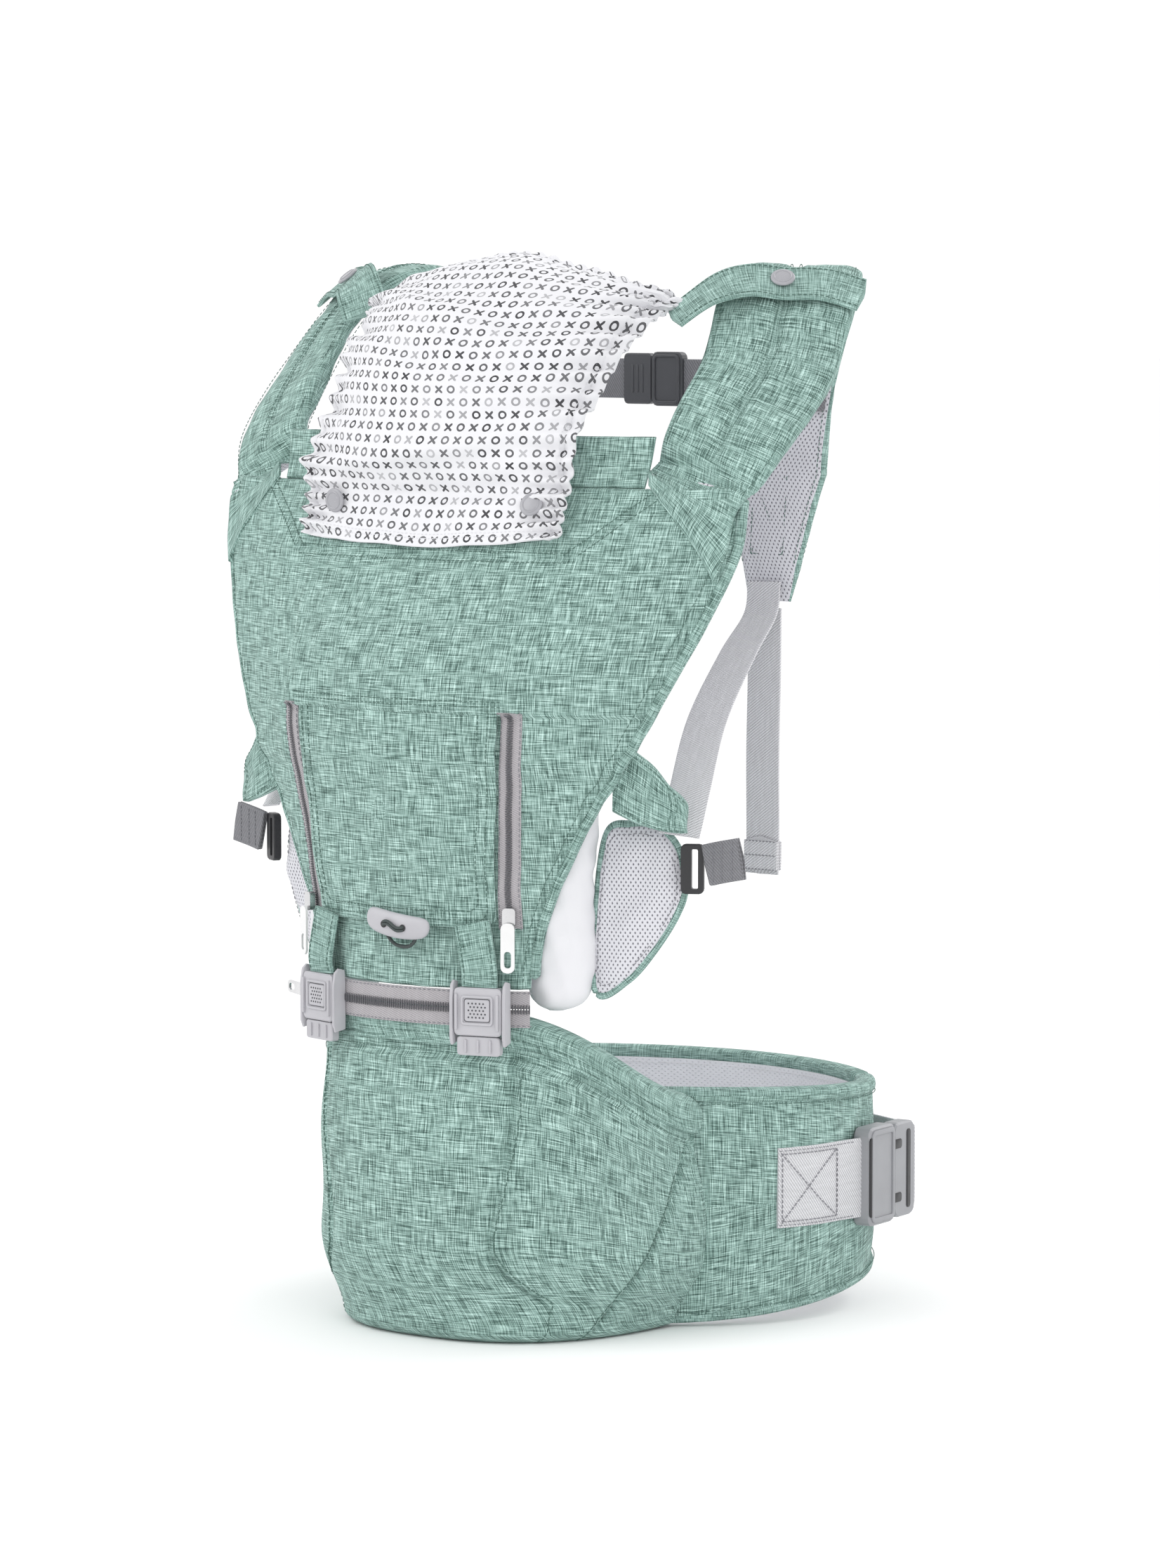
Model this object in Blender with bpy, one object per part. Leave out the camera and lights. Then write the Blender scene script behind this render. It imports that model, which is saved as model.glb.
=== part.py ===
"""Soft baby carrier with a hip seat.

Metres, +Z up. The outer face of the carrier looks along -Y and the wearer stands at +Y.
The origin is on the flat underside of the hip seat.
"""

import math

import bpy
from mathutils import Matrix, Vector

# ---- driving dimensions ------------------------------------------------------------------
GAP = 0.0004                 # clearance between touching pieces
BELT_A = 0.158               # half width of the waist belt's outer face, along X
BELT_B = 0.133               # half depth of the belt's outer face, along Y
BELT_THICK = 0.010
LINING_THICK = 0.0025
BELT_TOP = 0.1460
BELT_LOW_FRONT = 0.001       # height of the belt's lower edge at the seat
BELT_LOW_BACK = 0.024        # and at the middle of the back
SEAT_HALF_WIDTH = 0.118      # at the sides, where the seat meets the belt
SEAT_FRONT = -0.240          # the nose of the seat
SEAT_TOP = 0.1840             # top of the cover at the nose
SEAT_REAR_TOP = 0.1200        # top of the cover where it meets the belt
COVER_THICK = 0.003
CORE_GAP = 0.0018            # above the foam core
CORE_INSET = 0.0045          # between the foam core's sides and its cover
ZIP_Z = 0.2065               # height of the seat zip's coil
ZIP_HALF_ANGLE = math.radians(31)
ZIP_RADIUS = 0.165           # of the seat zip, seen from above
ZIP_CENTRE_Y = SEAT_FRONT - 0.001 + ZIP_RADIUS
PANEL_THICK = 0.005
NOTCH_Z = 0.5200              # where the shoulder straps part from the panel
STRAP_THICK = 0.013
STRAP_WIDTH = 0.080
WEB_WIDE = 0.050             # waist webbing
WEB = 0.025                  # shoulder webbing
WEB_THICK = 0.0016
BUCKLE_X = 0.060             # centres of the two front buckles
BUTTON_TRAVEL = 0.0015
BELT_TO_SEAT = 0.165         # the shapes are drawn about the belt's middle, then moved onto the seat's

# The panel, as stations from the zip to the notch: height, front face at the middle,
# bow (how fast the face falls back to the sides) and half width.
PANEL_STATIONS = [
    (0.2140, -0.2420, 3.4, 0.083),
    (0.2520, -0.2420, 3.3, 0.088),
    (0.2880, -0.2450, 2.9, 0.102),
    (0.3290, -0.2470, 2.4, 0.124),
    (0.3670, -0.2500, 2.1, 0.148),
    (0.4180, -0.2450, 1.9, 0.172),
    (0.4780, -0.2200, 1.3, 0.195),
    (NOTCH_Z, -0.1970, 0.92, 0.197),
    (0.5500, -0.1890, 0.80, 0.143),
]

COLOURS = {
    "linen": (0.20, 0.51, 0.41, 0.9, 0.0),
    "linen_dark": (0.13, 0.38, 0.30, 0.9, 0.0),
    "mesh": (0.58, 0.58, 0.61, 0.85, 0.0),
    "cotton": (0.87, 0.87, 0.89, 0.9, 0.0),
    "webbing": (0.62, 0.62, 0.65, 0.8, 0.0),
    "webbing_dark": (0.22, 0.22, 0.23, 0.8, 0.0),
    "plastic_light": (0.47, 0.47, 0.49, 0.4, 0.0),
    "plastic_dark": (0.10, 0.10, 0.11, 0.4, 0.0),
    "tape": (0.42, 0.38, 0.40, 0.8, 0.0),
    "metal": (0.75, 0.75, 0.76, 0.25, 1.0),
    "foam": (0.82, 0.82, 0.80, 0.95, 0.0),
}


def clear_scene():
    for obj in list(bpy.data.objects):
        bpy.data.objects.remove(obj, do_unlink=True)


def material(name):
    found = bpy.data.materials.get(name)
    if found:
        return found
    red, green, blue, roughness, metallic = COLOURS[name]
    made = bpy.data.materials.new(name)
    made.use_nodes = True
    shader = made.node_tree.nodes["Principled BSDF"]
    shader.inputs["Base Color"].default_value = (red, green, blue, 1.0)
    shader.inputs["Roughness"].default_value = roughness
    shader.inputs["Metallic"].default_value = metallic
    return made


def add_mesh(name, points, faces, look, origin=(0.0, 0.0, 0.0)):
    """One object; its origin is the given world point, its mesh stays where it was drawn."""
    offset = Vector(origin)
    mesh = bpy.data.meshes.new(name)
    mesh.from_pydata([Vector(p) - offset for p in points], [], faces)
    mesh.materials.append(material(look))
    mesh.validate()
    mesh.update()
    mesh.shade_smooth()
    mesh.set_sharp_from_angle(angle=math.radians(40))
    obj = bpy.data.objects.new(name, mesh)
    obj.location = offset
    bpy.context.scene.collection.objects.link(obj)
    return obj


def smooth_step(value):
    value = min(1.0, max(0.0, value))
    return value * value * (3.0 - 2.0 * value)


def station_at(height):
    """The panel's middle, bow and half width at a height, eased between the stations."""
    rows = PANEL_STATIONS
    if height <= rows[0][0]:
        return rows[0][1:]
    for low, high in zip(rows, rows[1:]):
        if height <= high[0]:
            share = (height - low[0]) / (high[0] - low[0])
            return tuple(a + (b - a) * share for a, b in zip(low[1:], high[1:]))
    return rows[-1][1:]


def panel_y(x, height):
    """The front face of the carrier's panel."""
    middle, bow, _ = station_at(height)
    return middle + bow * x * x


def spline(points, count):
    """count points along a smooth curve through the given points."""
    knots = [Vector(p) for p in points]
    knots = [2 * knots[0] - knots[1]] + knots + [2 * knots[-1] - knots[-2]]
    spans = len(knots) - 3
    found = []
    for i in range(count):
        place = i / (count - 1) * spans
        k = min(int(place), spans - 1)
        t = place - k
        a, b, c, d = knots[k:k + 4]
        found.append(0.5 * (2 * b + (c - a) * t + (2 * a - 5 * b + 4 * c - d) * t * t
                            + (3 * b - a - 3 * c + d) * t ** 3))
    return found


def skin(name, rings, look, origin=(0.0, 0.0, 0.0)):
    """A closed body through rings of equally many points, its two ends capped."""
    size = len(rings[0])
    points = [p for ring in rings for p in ring]
    faces = []
    for i in range(len(rings) - 1):
        for j in range(size):
            a, b = i * size + j, i * size + (j + 1) % size
            faces.append((a, b, b + size, a + size))
    faces.append(tuple(reversed(range(size))))
    last = (len(rings) - 1) * size
    faces.append(tuple(range(last, last + size)))
    obj = add_mesh(name, points, faces, look, origin)
    return face_out(obj)


def face_out(obj):
    """Turns the faces outward where the rings ran the other way."""
    mesh = obj.data
    mesh.calc_loop_triangles()
    volume = 0.0
    for triangle in mesh.loop_triangles:
        a, b, c = (mesh.vertices[i].co for i in triangle.vertices)
        volume += a.dot(b.cross(c))
    if volume < 0:
        mesh.flip_normals()
    return obj


def ribbon(name, path, sides, width, thick, look, count=14, origin=(0.0, 0.0, 0.0), taper=None):
    """A flat strip along a curve. sides are its width directions at the path's points."""
    line = spline(path, count)
    across = spline(sides, count)
    rings = []
    for i, centre in enumerate(line):
        along = (line[min(i + 1, count - 1)] - line[max(i - 1, 0)]).normalized()
        side = across[i] - across[i].dot(along) * along
        side.normalize()
        out = along.cross(side)
        half = width / 2 * (taper(i / (count - 1)) if taper else 1.0)
        rings.append([centre + side * half * sx + out * thick / 2 * sy
                      for sx, sy in ((-1, -1), (1, -1), (1, 1), (-1, 1))])
    return skin(name, rings, look, origin)


def pad_strip(name, path, sides, width, thick, look, count, taper, origin=(0.0, 0.0, 0.0)):
    """A padded strip: like a ribbon, with a rounded eight-sided section."""
    line = spline(path, count)
    across = spline(sides, count)
    section = [(-1, -0.35), (-0.8, -1), (0.8, -1), (1, -0.35), (1, 0.35), (0.8, 1), (-0.8, 1), (-1, 0.35)]
    rings = []
    for i, centre in enumerate(line):
        along = (line[min(i + 1, count - 1)] - line[max(i - 1, 0)]).normalized()
        side = across[i].normalized()
        out = along.cross(side).normalized()
        half = width / 2 * taper(i / (count - 1))
        rings.append([centre + side * half * sx + out * thick / 2 * sy for sx, sy in section])
    return skin(name, rings, look, origin)


def slab(name, front, shift, look, origin=(0.0, 0.0, 0.0)):
    """A closed sheet: front is a grid of points, and shift moves each to the back face."""
    rows, columns = len(front), len(front[0])
    back = [[Vector(p) + Vector(shift(Vector(p))) for p in row] for row in front]
    points = [p for row in front for p in row] + [p for row in back for p in row]
    base = rows * columns
    faces = []
    for i in range(rows - 1):
        for j in range(columns - 1):
            a = i * columns + j
            quad = (a, a + 1, a + columns + 1, a + columns)
            faces.append(quad)
            faces.append(tuple(base + k for k in reversed(quad)))
    edge = [j for j in range(columns)]
    edge += [i * columns + columns - 1 for i in range(1, rows)]
    edge += [(rows - 1) * columns + j for j in range(columns - 2, -1, -1)]
    edge += [i * columns for i in range(rows - 2, 0, -1)]
    for k, a in enumerate(edge):
        b = edge[(k + 1) % len(edge)]
        faces.append((b, a, a + base, b + base))
    return face_out(add_mesh(name, points, faces, look, origin))


def rounded_outline(width, height, radius, steps=3):
    """A rectangle with round corners, centred, as (x, y) pairs."""
    corners = ((1, -1, -90), (1, 1, 0), (-1, 1, 90), (-1, -1, 180))
    found = []
    for sx, sy, start in corners:
        cx, cy = sx * (width / 2 - radius), sy * (height / 2 - radius)
        for i in range(steps + 1):
            angle = math.radians(start + 90 * i / steps)
            found.append((cx + radius * math.cos(angle), cy + radius * math.sin(angle)))
    return found


def plate(name, outline, depth, place, look, origin=None, bevel=0.0):
    """An outline in the place's XY plane, from its z = 0 to z = depth, with a bevelled rim."""
    layers = [(0.0, 0.0), (depth, 0.0)]
    if bevel:
        layers = [(0.0, bevel), (bevel, 0.0), (depth - bevel, 0.0), (depth, bevel)]
    reach = max(max(abs(x), abs(y)) for x, y in outline)
    rings = []
    for level, inset in layers:
        scale = 1.0 - inset / reach
        rings.append([place @ Vector((x * scale, y * scale, level)) for x, y in outline])
    return skin(name, rings, look, origin or place.translation)


def frame_at(centre, right, outward):
    """A matrix whose X runs along right and whose Z runs outward."""
    z_axis = Vector(outward).normalized()
    x_axis = Vector(right) - Vector(right).dot(z_axis) * z_axis
    x_axis.normalize()
    y_axis = z_axis.cross(x_axis)
    made = Matrix((x_axis, y_axis, z_axis)).transposed().to_4x4()
    made.translation = Vector(centre)
    return made


def disc(name, place, radius, depth, look, sides=16, dome=0.35):
    rings = []
    for level, share in ((0.0, 1.0), (depth * 0.5, 1.0), (depth, 1.0 - dome)):
        rings.append([place @ Vector((radius * share * math.cos(2 * math.pi * k / sides),
                                      radius * share * math.sin(2 * math.pi * k / sides), level))
                      for k in range(sides)])
    return skin(name, rings, look, place.translation)


def cut(obj, cutter):
    cutter.hide_render = True
    cutter.display_type = "WIRE"
    boolean = obj.modifiers.new("cut_" + cutter.name, "BOOLEAN")
    boolean.object = cutter
    boolean.operation = "DIFFERENCE"


# ---- waist belt ----------------------------------------------------------------------------
def belt_point(angle, inset):
    """A point of the belt seen from above; angle 0 is +X, 90 degrees is the back."""
    return (BELT_A - inset) * math.cos(angle), (BELT_B - inset) * math.sin(angle)


def belt_low(angle):
    """The belt's lower edge climbs towards the back."""
    return BELT_LOW_FRONT + (BELT_LOW_BACK - BELT_LOW_FRONT) * smooth_step((math.sin(angle) + 1) / 2)


def belt_top(angle):
    return BELT_TOP - 0.010 * smooth_step((math.sin(angle) + 1) / 2)


def belt_band(name, start, end, outer, thick, look, steps, trim=0.0, bulge=0.0):
    """A band of the belt between two angles; outer is its outer face's inset."""
    rings = []
    for i in range(steps + 1):
        angle = math.radians(start + (end - start) * i / steps)
        low, top = belt_low(angle) + trim, belt_top(angle) - trim
        ring = []
        for inset, share in ((outer, 0.06), (outer - bulge, 0.5), (outer, 0.94),
                             (outer + thick, 0.97), (outer + thick, 0.03)):
            x, y = belt_point(angle, inset)
            ring.append((x, y, low + (top - low) * share))
        rings.append(ring)
    return skin(name, rings, look)


def make_belt():
    belt_band("belt_right", -89.9, 40, 0.0, BELT_THICK, "linen", 18)
    belt_band("belt_left", -90.3, -318, 0.0, BELT_THICK, "linen", 30)
    lining = BELT_THICK + GAP
    belt_band("belt_lining", 38, -316, lining, LINING_THICK, "mesh", 40, trim=0.004)


# ---- hip seat --------------------------------------------------------------------------------
def seat_outline(height_share, inset, steps=12):
    """The seat seen from above: a round nose, then a hollow back that follows the belt."""
    tuck = 1.0 - 0.10 * (1.0 - smooth_step(height_share / 0.35)) - 0.015 * smooth_step((height_share - 0.6) / 0.4)
    half = SEAT_HALF_WIDTH * tuck - inset
    root_y = -(BELT_B + 0.002 + inset) * math.sqrt(1 - (half / (BELT_A + 0.002)) ** 2)
    depth = (root_y - SEAT_FRONT) - inset - (1.0 - tuck) * 0.12
    front = []
    for i in range(steps + 1):
        angle = math.pi * i / steps
        c, s = math.cos(angle), math.sin(angle)
        x = half * math.copysign(abs(c) ** 0.80, c)
        front.append((x, root_y - depth * abs(s) ** 0.85))
    back = []
    for i in range(1, steps):
        x = half * (-1 + 2 * i / steps)
        y = -(BELT_B + 0.002 + inset) * math.sqrt(1 - (x / (BELT_A + 0.002)) ** 2)
        back.append((x, y))
    return front + back


def seat_rim(y):
    """The rim runs down from the nose to the belt."""
    share = smooth_step((y - SEAT_FRONT) / (-0.085 - SEAT_FRONT))
    return SEAT_TOP + (SEAT_REAR_TOP - SEAT_TOP) * share


def seat_ring(share, inset, low, drop=0.0):
    return [(x, y, low + (seat_rim(y) - drop - low) * share) for x, y in seat_outline(share, inset)]


def make_seat():
    levels = (0.0, 0.05, 0.16, 0.35, 0.6, 0.82, 1.0)
    outer = [seat_ring(s, 0.0 if s else 0.006, 0.0) for s in levels]
    inner = [seat_ring(s, COVER_THICK + (0.006 if not s else 0.0), COVER_THICK) for s in reversed(levels)]
    skin("seat_cover", outer + inner, "linen")
    core_inset = COVER_THICK + CORE_INSET
    low = COVER_THICK + GAP
    core = [seat_ring(s, core_inset + (0.006 if not s else 0.0), low, CORE_GAP) for s in levels]
    skin("seat_core", core, "foam")
    make_seat_top()


def make_seat_top():
    """The padded platform lies on the core and the cover's rim."""
    rings = []
    for rise, inset in ((0.0016, 0.0), (0.012, -0.0005), (0.020, 0.004), (0.024, 0.016)):
        rings.append([(x, y, seat_rim(y) + rise) for x, y in seat_outline(1.0, inset + 0.001)])
    skin("seat_top", rings, "linen")


# ---- seat zip and front buckles ------------------------------------------------------------------
def zip_point(angle, out, height):
    """A point on the seat zip's arc; angle 0 is the middle of the front."""
    radius = ZIP_RADIUS + out
    return Vector((radius * math.sin(angle), ZIP_CENTRE_Y - radius * math.cos(angle), height))


def zip_tape(name, low, high, steps=16):
    rings = []
    for i in range(steps + 1):
        angle = ZIP_HALF_ANGLE * (-1 + 2 * i / steps)
        rings.append([zip_point(angle, 0.0, low), zip_point(angle, 0.0014, low),
                      zip_point(angle, 0.0014, high), zip_point(angle, 0.0, high)])
    return skin(name, rings, "tape")


def make_seat_zip():
    zip_tape("seat_zip_lower", ZIP_Z - 0.0105, ZIP_Z - 0.0003)
    zip_tape("seat_zip_upper", ZIP_Z + 0.0003, ZIP_Z + 0.0105)
    angle = -ZIP_HALF_ANGLE + math.radians(2.5)
    outward = zip_point(angle, 1.0, 0.0) - zip_point(angle, 0.0, 0.0)
    along = Vector((math.cos(angle), math.sin(angle), 0.0))
    place = frame_at(zip_point(angle, 0.0018, ZIP_Z), along, outward)
    plate("seat_zip_slider", rounded_outline(0.011, 0.008, 0.002, 2), 0.0038, place, "metal")
    pivot = place @ Vector((-0.002, 0.0, 0.0056))
    hang = frame_at(pivot, along, outward)
    tab = [(x - 0.0145, y) for x, y in rounded_outline(0.027, 0.0075, 0.003, 3)]
    pull = plate("seat_zip_pull", tab, 0.0014, hang, "metal", origin=pivot)
    hole = plate("seat_pull_hole", [(x - 0.021, y) for x, y in rounded_outline(0.009, 0.004, 0.0018, 3)],
                 0.01, hang @ Matrix.Translation((0, 0, -0.004)), "metal")
    cut(pull, hole)


def buckle_frame(side):
    """Outward-facing frame on the panel at a front buckle: X across, Y up, Z out."""
    x = side * BUCKLE_X
    slope = 2 * 3.0 * x
    outward = Vector((slope * 0.75, -1.0, 0.0)).normalized()
    y = panel_y(x, 0.2140)
    return frame_at(Vector((x, y, ZIP_Z - 0.001)) + outward * 0.0035, (1, 0, 0), outward)


def make_front_buckle(side, tag):
    place = buckle_frame(side)
    body = plate("front_buckle_" + tag, rounded_outline(0.031, 0.029, 0.003), 0.0080, place, "plastic_light",
                 bevel=0.0008)
    window = plate("button_window_" + tag, rounded_outline(0.0172, 0.0142, 0.0016),
                   0.012, place @ Matrix.Translation((0, 0.001, 0.0032)), "plastic_light")
    cut(body, window)
    button_place = place @ Matrix.Translation((0, 0.001, 0.0032 + BUTTON_TRAVEL + 0.0004))
    plate("front_button_" + tag, rounded_outline(0.0164, 0.0134, 0.0014), 0.0034, button_place,
          "plastic_light", bevel=0.0004)
    plug_place = place @ Matrix.Translation((0, -0.0208, 0.0010))
    plate("front_plug_" + tag, rounded_outline(0.028, 0.0115, 0.002), 0.0056, plug_place, "plastic_light",
          bevel=0.0006)
    top = place @ Vector((0, 0.0160, 0.0035))
    x_axis = place.to_3x3() @ Vector((1, 0, 0))
    high = ZIP_Z + 0.052
    x_high = side * (BUCKLE_X - 0.003)
    path = [top, place @ Vector((0, 0.028, 0.0045)), (x_high, panel_y(x_high, high) - 0.0066, high)]
    ribbon("buckle_webbing_" + tag, path, [x_axis] * 3, 0.023, 0.003, "linen", count=7)


# ---- carrier panel --------------------------------------------------------------------------------
def panel_grid(low, high, rows, columns, offset, width=None, inner=0.0):
    """Points on the panel's face, offset back from it, between two heights."""
    grid = []
    for i in range(rows + 1):
        height = low + (high - low) * i / rows
        half = width(height) if width else station_at(height)[2] - inner
        grid.append([Vector((half * (-1 + 2 * j / columns), 0, height)) for j in range(columns + 1)])
        for p in grid[-1]:
            p.y = panel_y(p.x, height) + offset
    return grid


def flap_half(height):
    """The centre flap narrows towards its lower edge."""
    return 0.0690 + (0.0780 - 0.0690) * smooth_step((height - 0.2580) / (0.3850 - 0.2580))


def make_panel():
    back = Vector((0, PANEL_THICK, 0))
    slab("front_panel", panel_grid(0.2180, NOTCH_Z - 0.001, 18, 18, 0.0), lambda p: back, "linen")
    head = panel_grid(NOTCH_Z - 0.0005, 0.5500, 3, 14, 0.0, width=lambda z: 0.140 + 0.1 * (z - NOTCH_Z))
    slab("head_rest", head, lambda p: back, "linen")
    lining = panel_grid(0.2240, 0.5140, 14, 14, PANEL_THICK + 0.0015, inner=0.012)
    slab("panel_lining", lining, lambda p: Vector((0, 0.0025, 0)), "mesh")
    flap = panel_grid(0.2560, 0.3850, 8, 10, -0.0030, width=flap_half)
    slab("centre_flap", flap, lambda p: Vector((0, 0.0025, 0)), "linen_dark")


def side_zip_x(side, height):
    return side * (flap_half(height) + 0.0072)


def make_side_zip(side, tag):
    rings = []
    for i in range(13):
        height = 0.2580 + (0.3830 - 0.2580) * i / 12
        x = side_zip_x(side, height)
        ring = []
        for dx, dy in ((-0.0065, -0.0006), (0.0065, -0.0006), (0.0065, -0.0020), (-0.0065, -0.0020)):
            ring.append((x + dx, panel_y(x + dx, height) + dy, height))
        rings.append(ring)
    skin("side_zip_" + tag, rings, "tape")
    height = 0.2625
    x = side_zip_x(side, height)
    outward = Vector((6.0 * x, -1.0, 0.0)).normalized()
    place = frame_at(Vector((x, panel_y(x, height), height)) + outward * 0.0034, (1, 0, 0), outward)
    plate("side_slider_" + tag, rounded_outline(0.008, 0.0115, 0.002, 2), 0.0036, place, "metal")
    pivot = place @ Vector((0.0, -0.002, 0.0052))
    hang = frame_at(pivot, (1, 0, 0), outward)
    tab = [(px, py - 0.0160) for px, py in rounded_outline(0.0085, 0.030, 0.0035, 3)]
    pull = plate("side_pull_" + tag, tab, 0.0014, hang, "metal", origin=pivot)
    slot = [(px, py - 0.023) for px, py in rounded_outline(0.0045, 0.010, 0.002, 3)]
    cut(pull, plate("side_pull_slot_" + tag, slot, 0.01, hang @ Matrix.Translation((0, 0, -0.004)), "metal"))


def make_toggle():
    """A wooden-style toggle: a tapered bar lying across the flap's lower edge."""
    height = 0.2552
    centre = Vector((0.0100, panel_y(0.0100, height) - 0.0102, height))
    tilt = math.radians(-6)
    along = Vector((math.cos(tilt), 0.0, math.sin(tilt)))
    up = Vector((-math.sin(tilt), 0.0, math.cos(tilt)))
    rings = []
    for share in (-1.0, -0.9, -0.5, 0.0, 0.5, 0.9, 1.0):
        wide = 0.0072 * (1 - 0.42 * abs(share) ** 3)
        deep = 0.0042 * (1 - 0.35 * abs(share) ** 3)
        mid = centre + along * 0.0225 * share
        rings.append([mid + up * wide * math.cos(2 * math.pi * k / 12)
                      + Vector((0, -1, 0)) * deep * math.sin(2 * math.pi * k / 12) for k in range(12)])
    toggle = skin("toggle", rings, "plastic_light", origin=centre)
    for k, shift in enumerate((-0.0045, 0.0045)):
        place = frame_at(centre + along * shift + Vector((0, 0.01, 0)), (1, 0, 0), (0, -1, 0))
        cut(toggle, disc("toggle_hole_%d" % k, place, 0.0016, 0.02, "plastic_light", sides=8, dome=0.0))


# ---- leg openings ---------------------------------------------------------------------------------
def make_wing(side, tag):
    """The wing carries the strap's webbing out from the panel's edge."""
    rows = []
    for i in range(7):
        t = i / 6
        x = side * (0.1370 + (0.1720 - 0.1370) * t)
        y = -0.2040 + (-0.1880 + 0.2040) * t - 0.003 * math.sin(math.pi * t)
        top = 0.3720 - 0.030 * t - 0.010 * t ** 4
        low = 0.3290 - 0.020 * t + 0.004 * t ** 4
        rows.append([Vector((x, y + 0.0062, low + (top - low) * k / 4)) for k in range(5)])
    slab("wing_" + tag, rows, lambda p: Vector((0, 0.006, 0)), "linen")


def make_leg_flap(side, tag):
    """A padded leaf behind the leg opening, with its netting to the outside."""
    outline = [(0.00, 0.2160), (0.30, 0.2260), (0.62, 0.2440), (0.90, 0.2650), (0.98, 0.2800),
               (0.90, 0.3000), (0.66, 0.3130), (0.40, 0.3140), (0.05, 0.3070), (0.00, 0.2580)]
    rings = []
    for depth, inset in ((0.0, 0.04), (0.002, 0.0), (0.006, 0.0), (0.008, 0.04)):
        ring = []
        for t, z in outline:
            t, z = t + (0.45 - t) * inset, z + (0.2730 - z) * inset
            ring.append((side * (0.1130 + 0.0430 * t - 0.45 * depth), -0.1800 + 0.0200 * t + 0.9 * depth, z))
        rings.append(ring)
    skin("leg_flap_" + tag, rings, "mesh")


def make_leg_pad(side, tag):
    """A soft white roll fills the leg opening behind the panel's edge."""
    path = spline([(0.0805, -0.1870, 0.2040), (0.0835, -0.1870, 0.2250), (0.0870, -0.1875, 0.2600),
                   (0.0910, -0.1880, 0.3000), (0.1000, -0.1880, 0.3330)], 11)
    radii = (0.009, 0.0170, 0.0195, 0.0200, 0.0200, 0.0195, 0.0190, 0.0180, 0.0165, 0.014, 0.008)
    rings = []
    for centre, radius in zip(path, radii):
        rings.append([(side * (centre.x + radius * 0.95 * math.cos(2 * math.pi * k / 12)),
                       centre.y + radius * 0.85 * math.sin(2 * math.pi * k / 12), centre.z) for k in range(12)])
    skin("leg_pad_" + tag, rings, "cotton")


def make_wing_fittings(side, tag):
    """The ladder buckle under the wing's tip and the tail that leaves it."""
    centre = Vector((side * 0.1640, -0.1600, 0.2920))
    outward = Vector((side * 0.5, -0.86, 0.0))
    place = frame_at(centre, (0.86, side * 0.5, 0.0), outward)
    body = plate("wing_buckle_" + tag, rounded_outline(0.014, 0.030, 0.003), 0.0050, place, "plastic_dark",
                 bevel=0.0006)
    slot = rounded_outline(0.0040, 0.0240, 0.001, 2)
    cutter = plate("wing_slot_" + tag, [(x, y) for x, y in slot], 0.012,
                   place @ Matrix.Translation((0.0015, 0, -0.003)), "plastic_dark")
    cut(body, cutter)
    path = [(side * 0.1760, -0.1610, 0.2950), (side * 0.1850, -0.1600, 0.2970), (side * 0.2000, -0.1585, 0.3000)]
    ribbon("wing_tail_" + tag, path, [(0, 0, 1)] * 3, WEB, 0.003, "webbing_dark", count=6)


# ---- shoulder straps ---------------------------------------------------------------------------------
def mirrored(points, side):
    return [(side * x, y, z) for x, y, z in points]


def strap_taper(t):
    """Full over the shoulder, narrower at the notch, and pointed at the lower end."""
    if t > 0.88:
        return 0.90 - 4.2 * (t - 0.88)
    return 0.83 + 0.20 * math.sin(math.pi * min(1.0, t * 1.3)) + 0.07 * smooth_step((t - 0.7) * 4)


STRAP_PATH = [(0.1695, -0.1570, NOTCH_Z + 0.0055), (0.1770, -0.1440, 0.5500), (0.1800, -0.1080, 0.5890),
              (0.1690, -0.0740, 0.6290), (0.1520, -0.0400, 0.6450), (0.1310, -0.0120, 0.6310),
              (0.1180, -0.0030, 0.5880), (0.1130, -0.0060, 0.5280), (0.1120, -0.0120, 0.4440)]
STRAP_SIDES = [(0.97, 0.20, 0.0), (0.90, 0.42, 0.0), (0.84, 0.54, 0.0), (0.80, 0.60, 0.0), (0.85, 0.52, 0.0),
               (0.93, 0.36, 0.0), (0.98, 0.20, 0.0), (1.0, 0.08, 0.0), (1.0, 0.0, 0.0)]


def make_strap(side, tag):
    path = mirrored(STRAP_PATH, side)
    sides = [(x, side * y, z) for x, y, z in STRAP_SIDES]
    pad_strip("shoulder_strap_" + tag, path, sides, STRAP_WIDTH, STRAP_THICK, "linen", 26, strap_taper)
    run = mirrored([(0.1120, -0.0220, 0.4400), (0.1170, -0.0520, 0.4160), (0.1330, -0.1050, 0.3760),
                    (0.1560, -0.1530, 0.3380), (0.1610, -0.1700, 0.3125)], side)
    turn = [(1, 0, 0), (0.97, side * 0.2, 0), (0.90, side * 0.4, 0), (0.86, side * 0.5, 0), (0.86, side * 0.5, 0)]
    ribbon("strap_webbing_" + tag, run, turn, WEB, WEB_THICK, "webbing", count=14)
    tail = mirrored([(0.1120, -0.0170, 0.4400), (0.1110, -0.0170, 0.3600), (0.1100, -0.0170, 0.2740)], side)
    ribbon("strap_tail_" + tag, tail, [(1, 0, 0)] * 3, WEB, WEB_THICK, "webbing", count=12,
           origin=(side * 0.1120, -0.0170, 0.4400))


# ---- chest strap ----------------------------------------------------------------------------------------
CHEST_Z = 0.5800
CHEST_Y = -0.0010
CHEST_X = 0.0130


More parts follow.
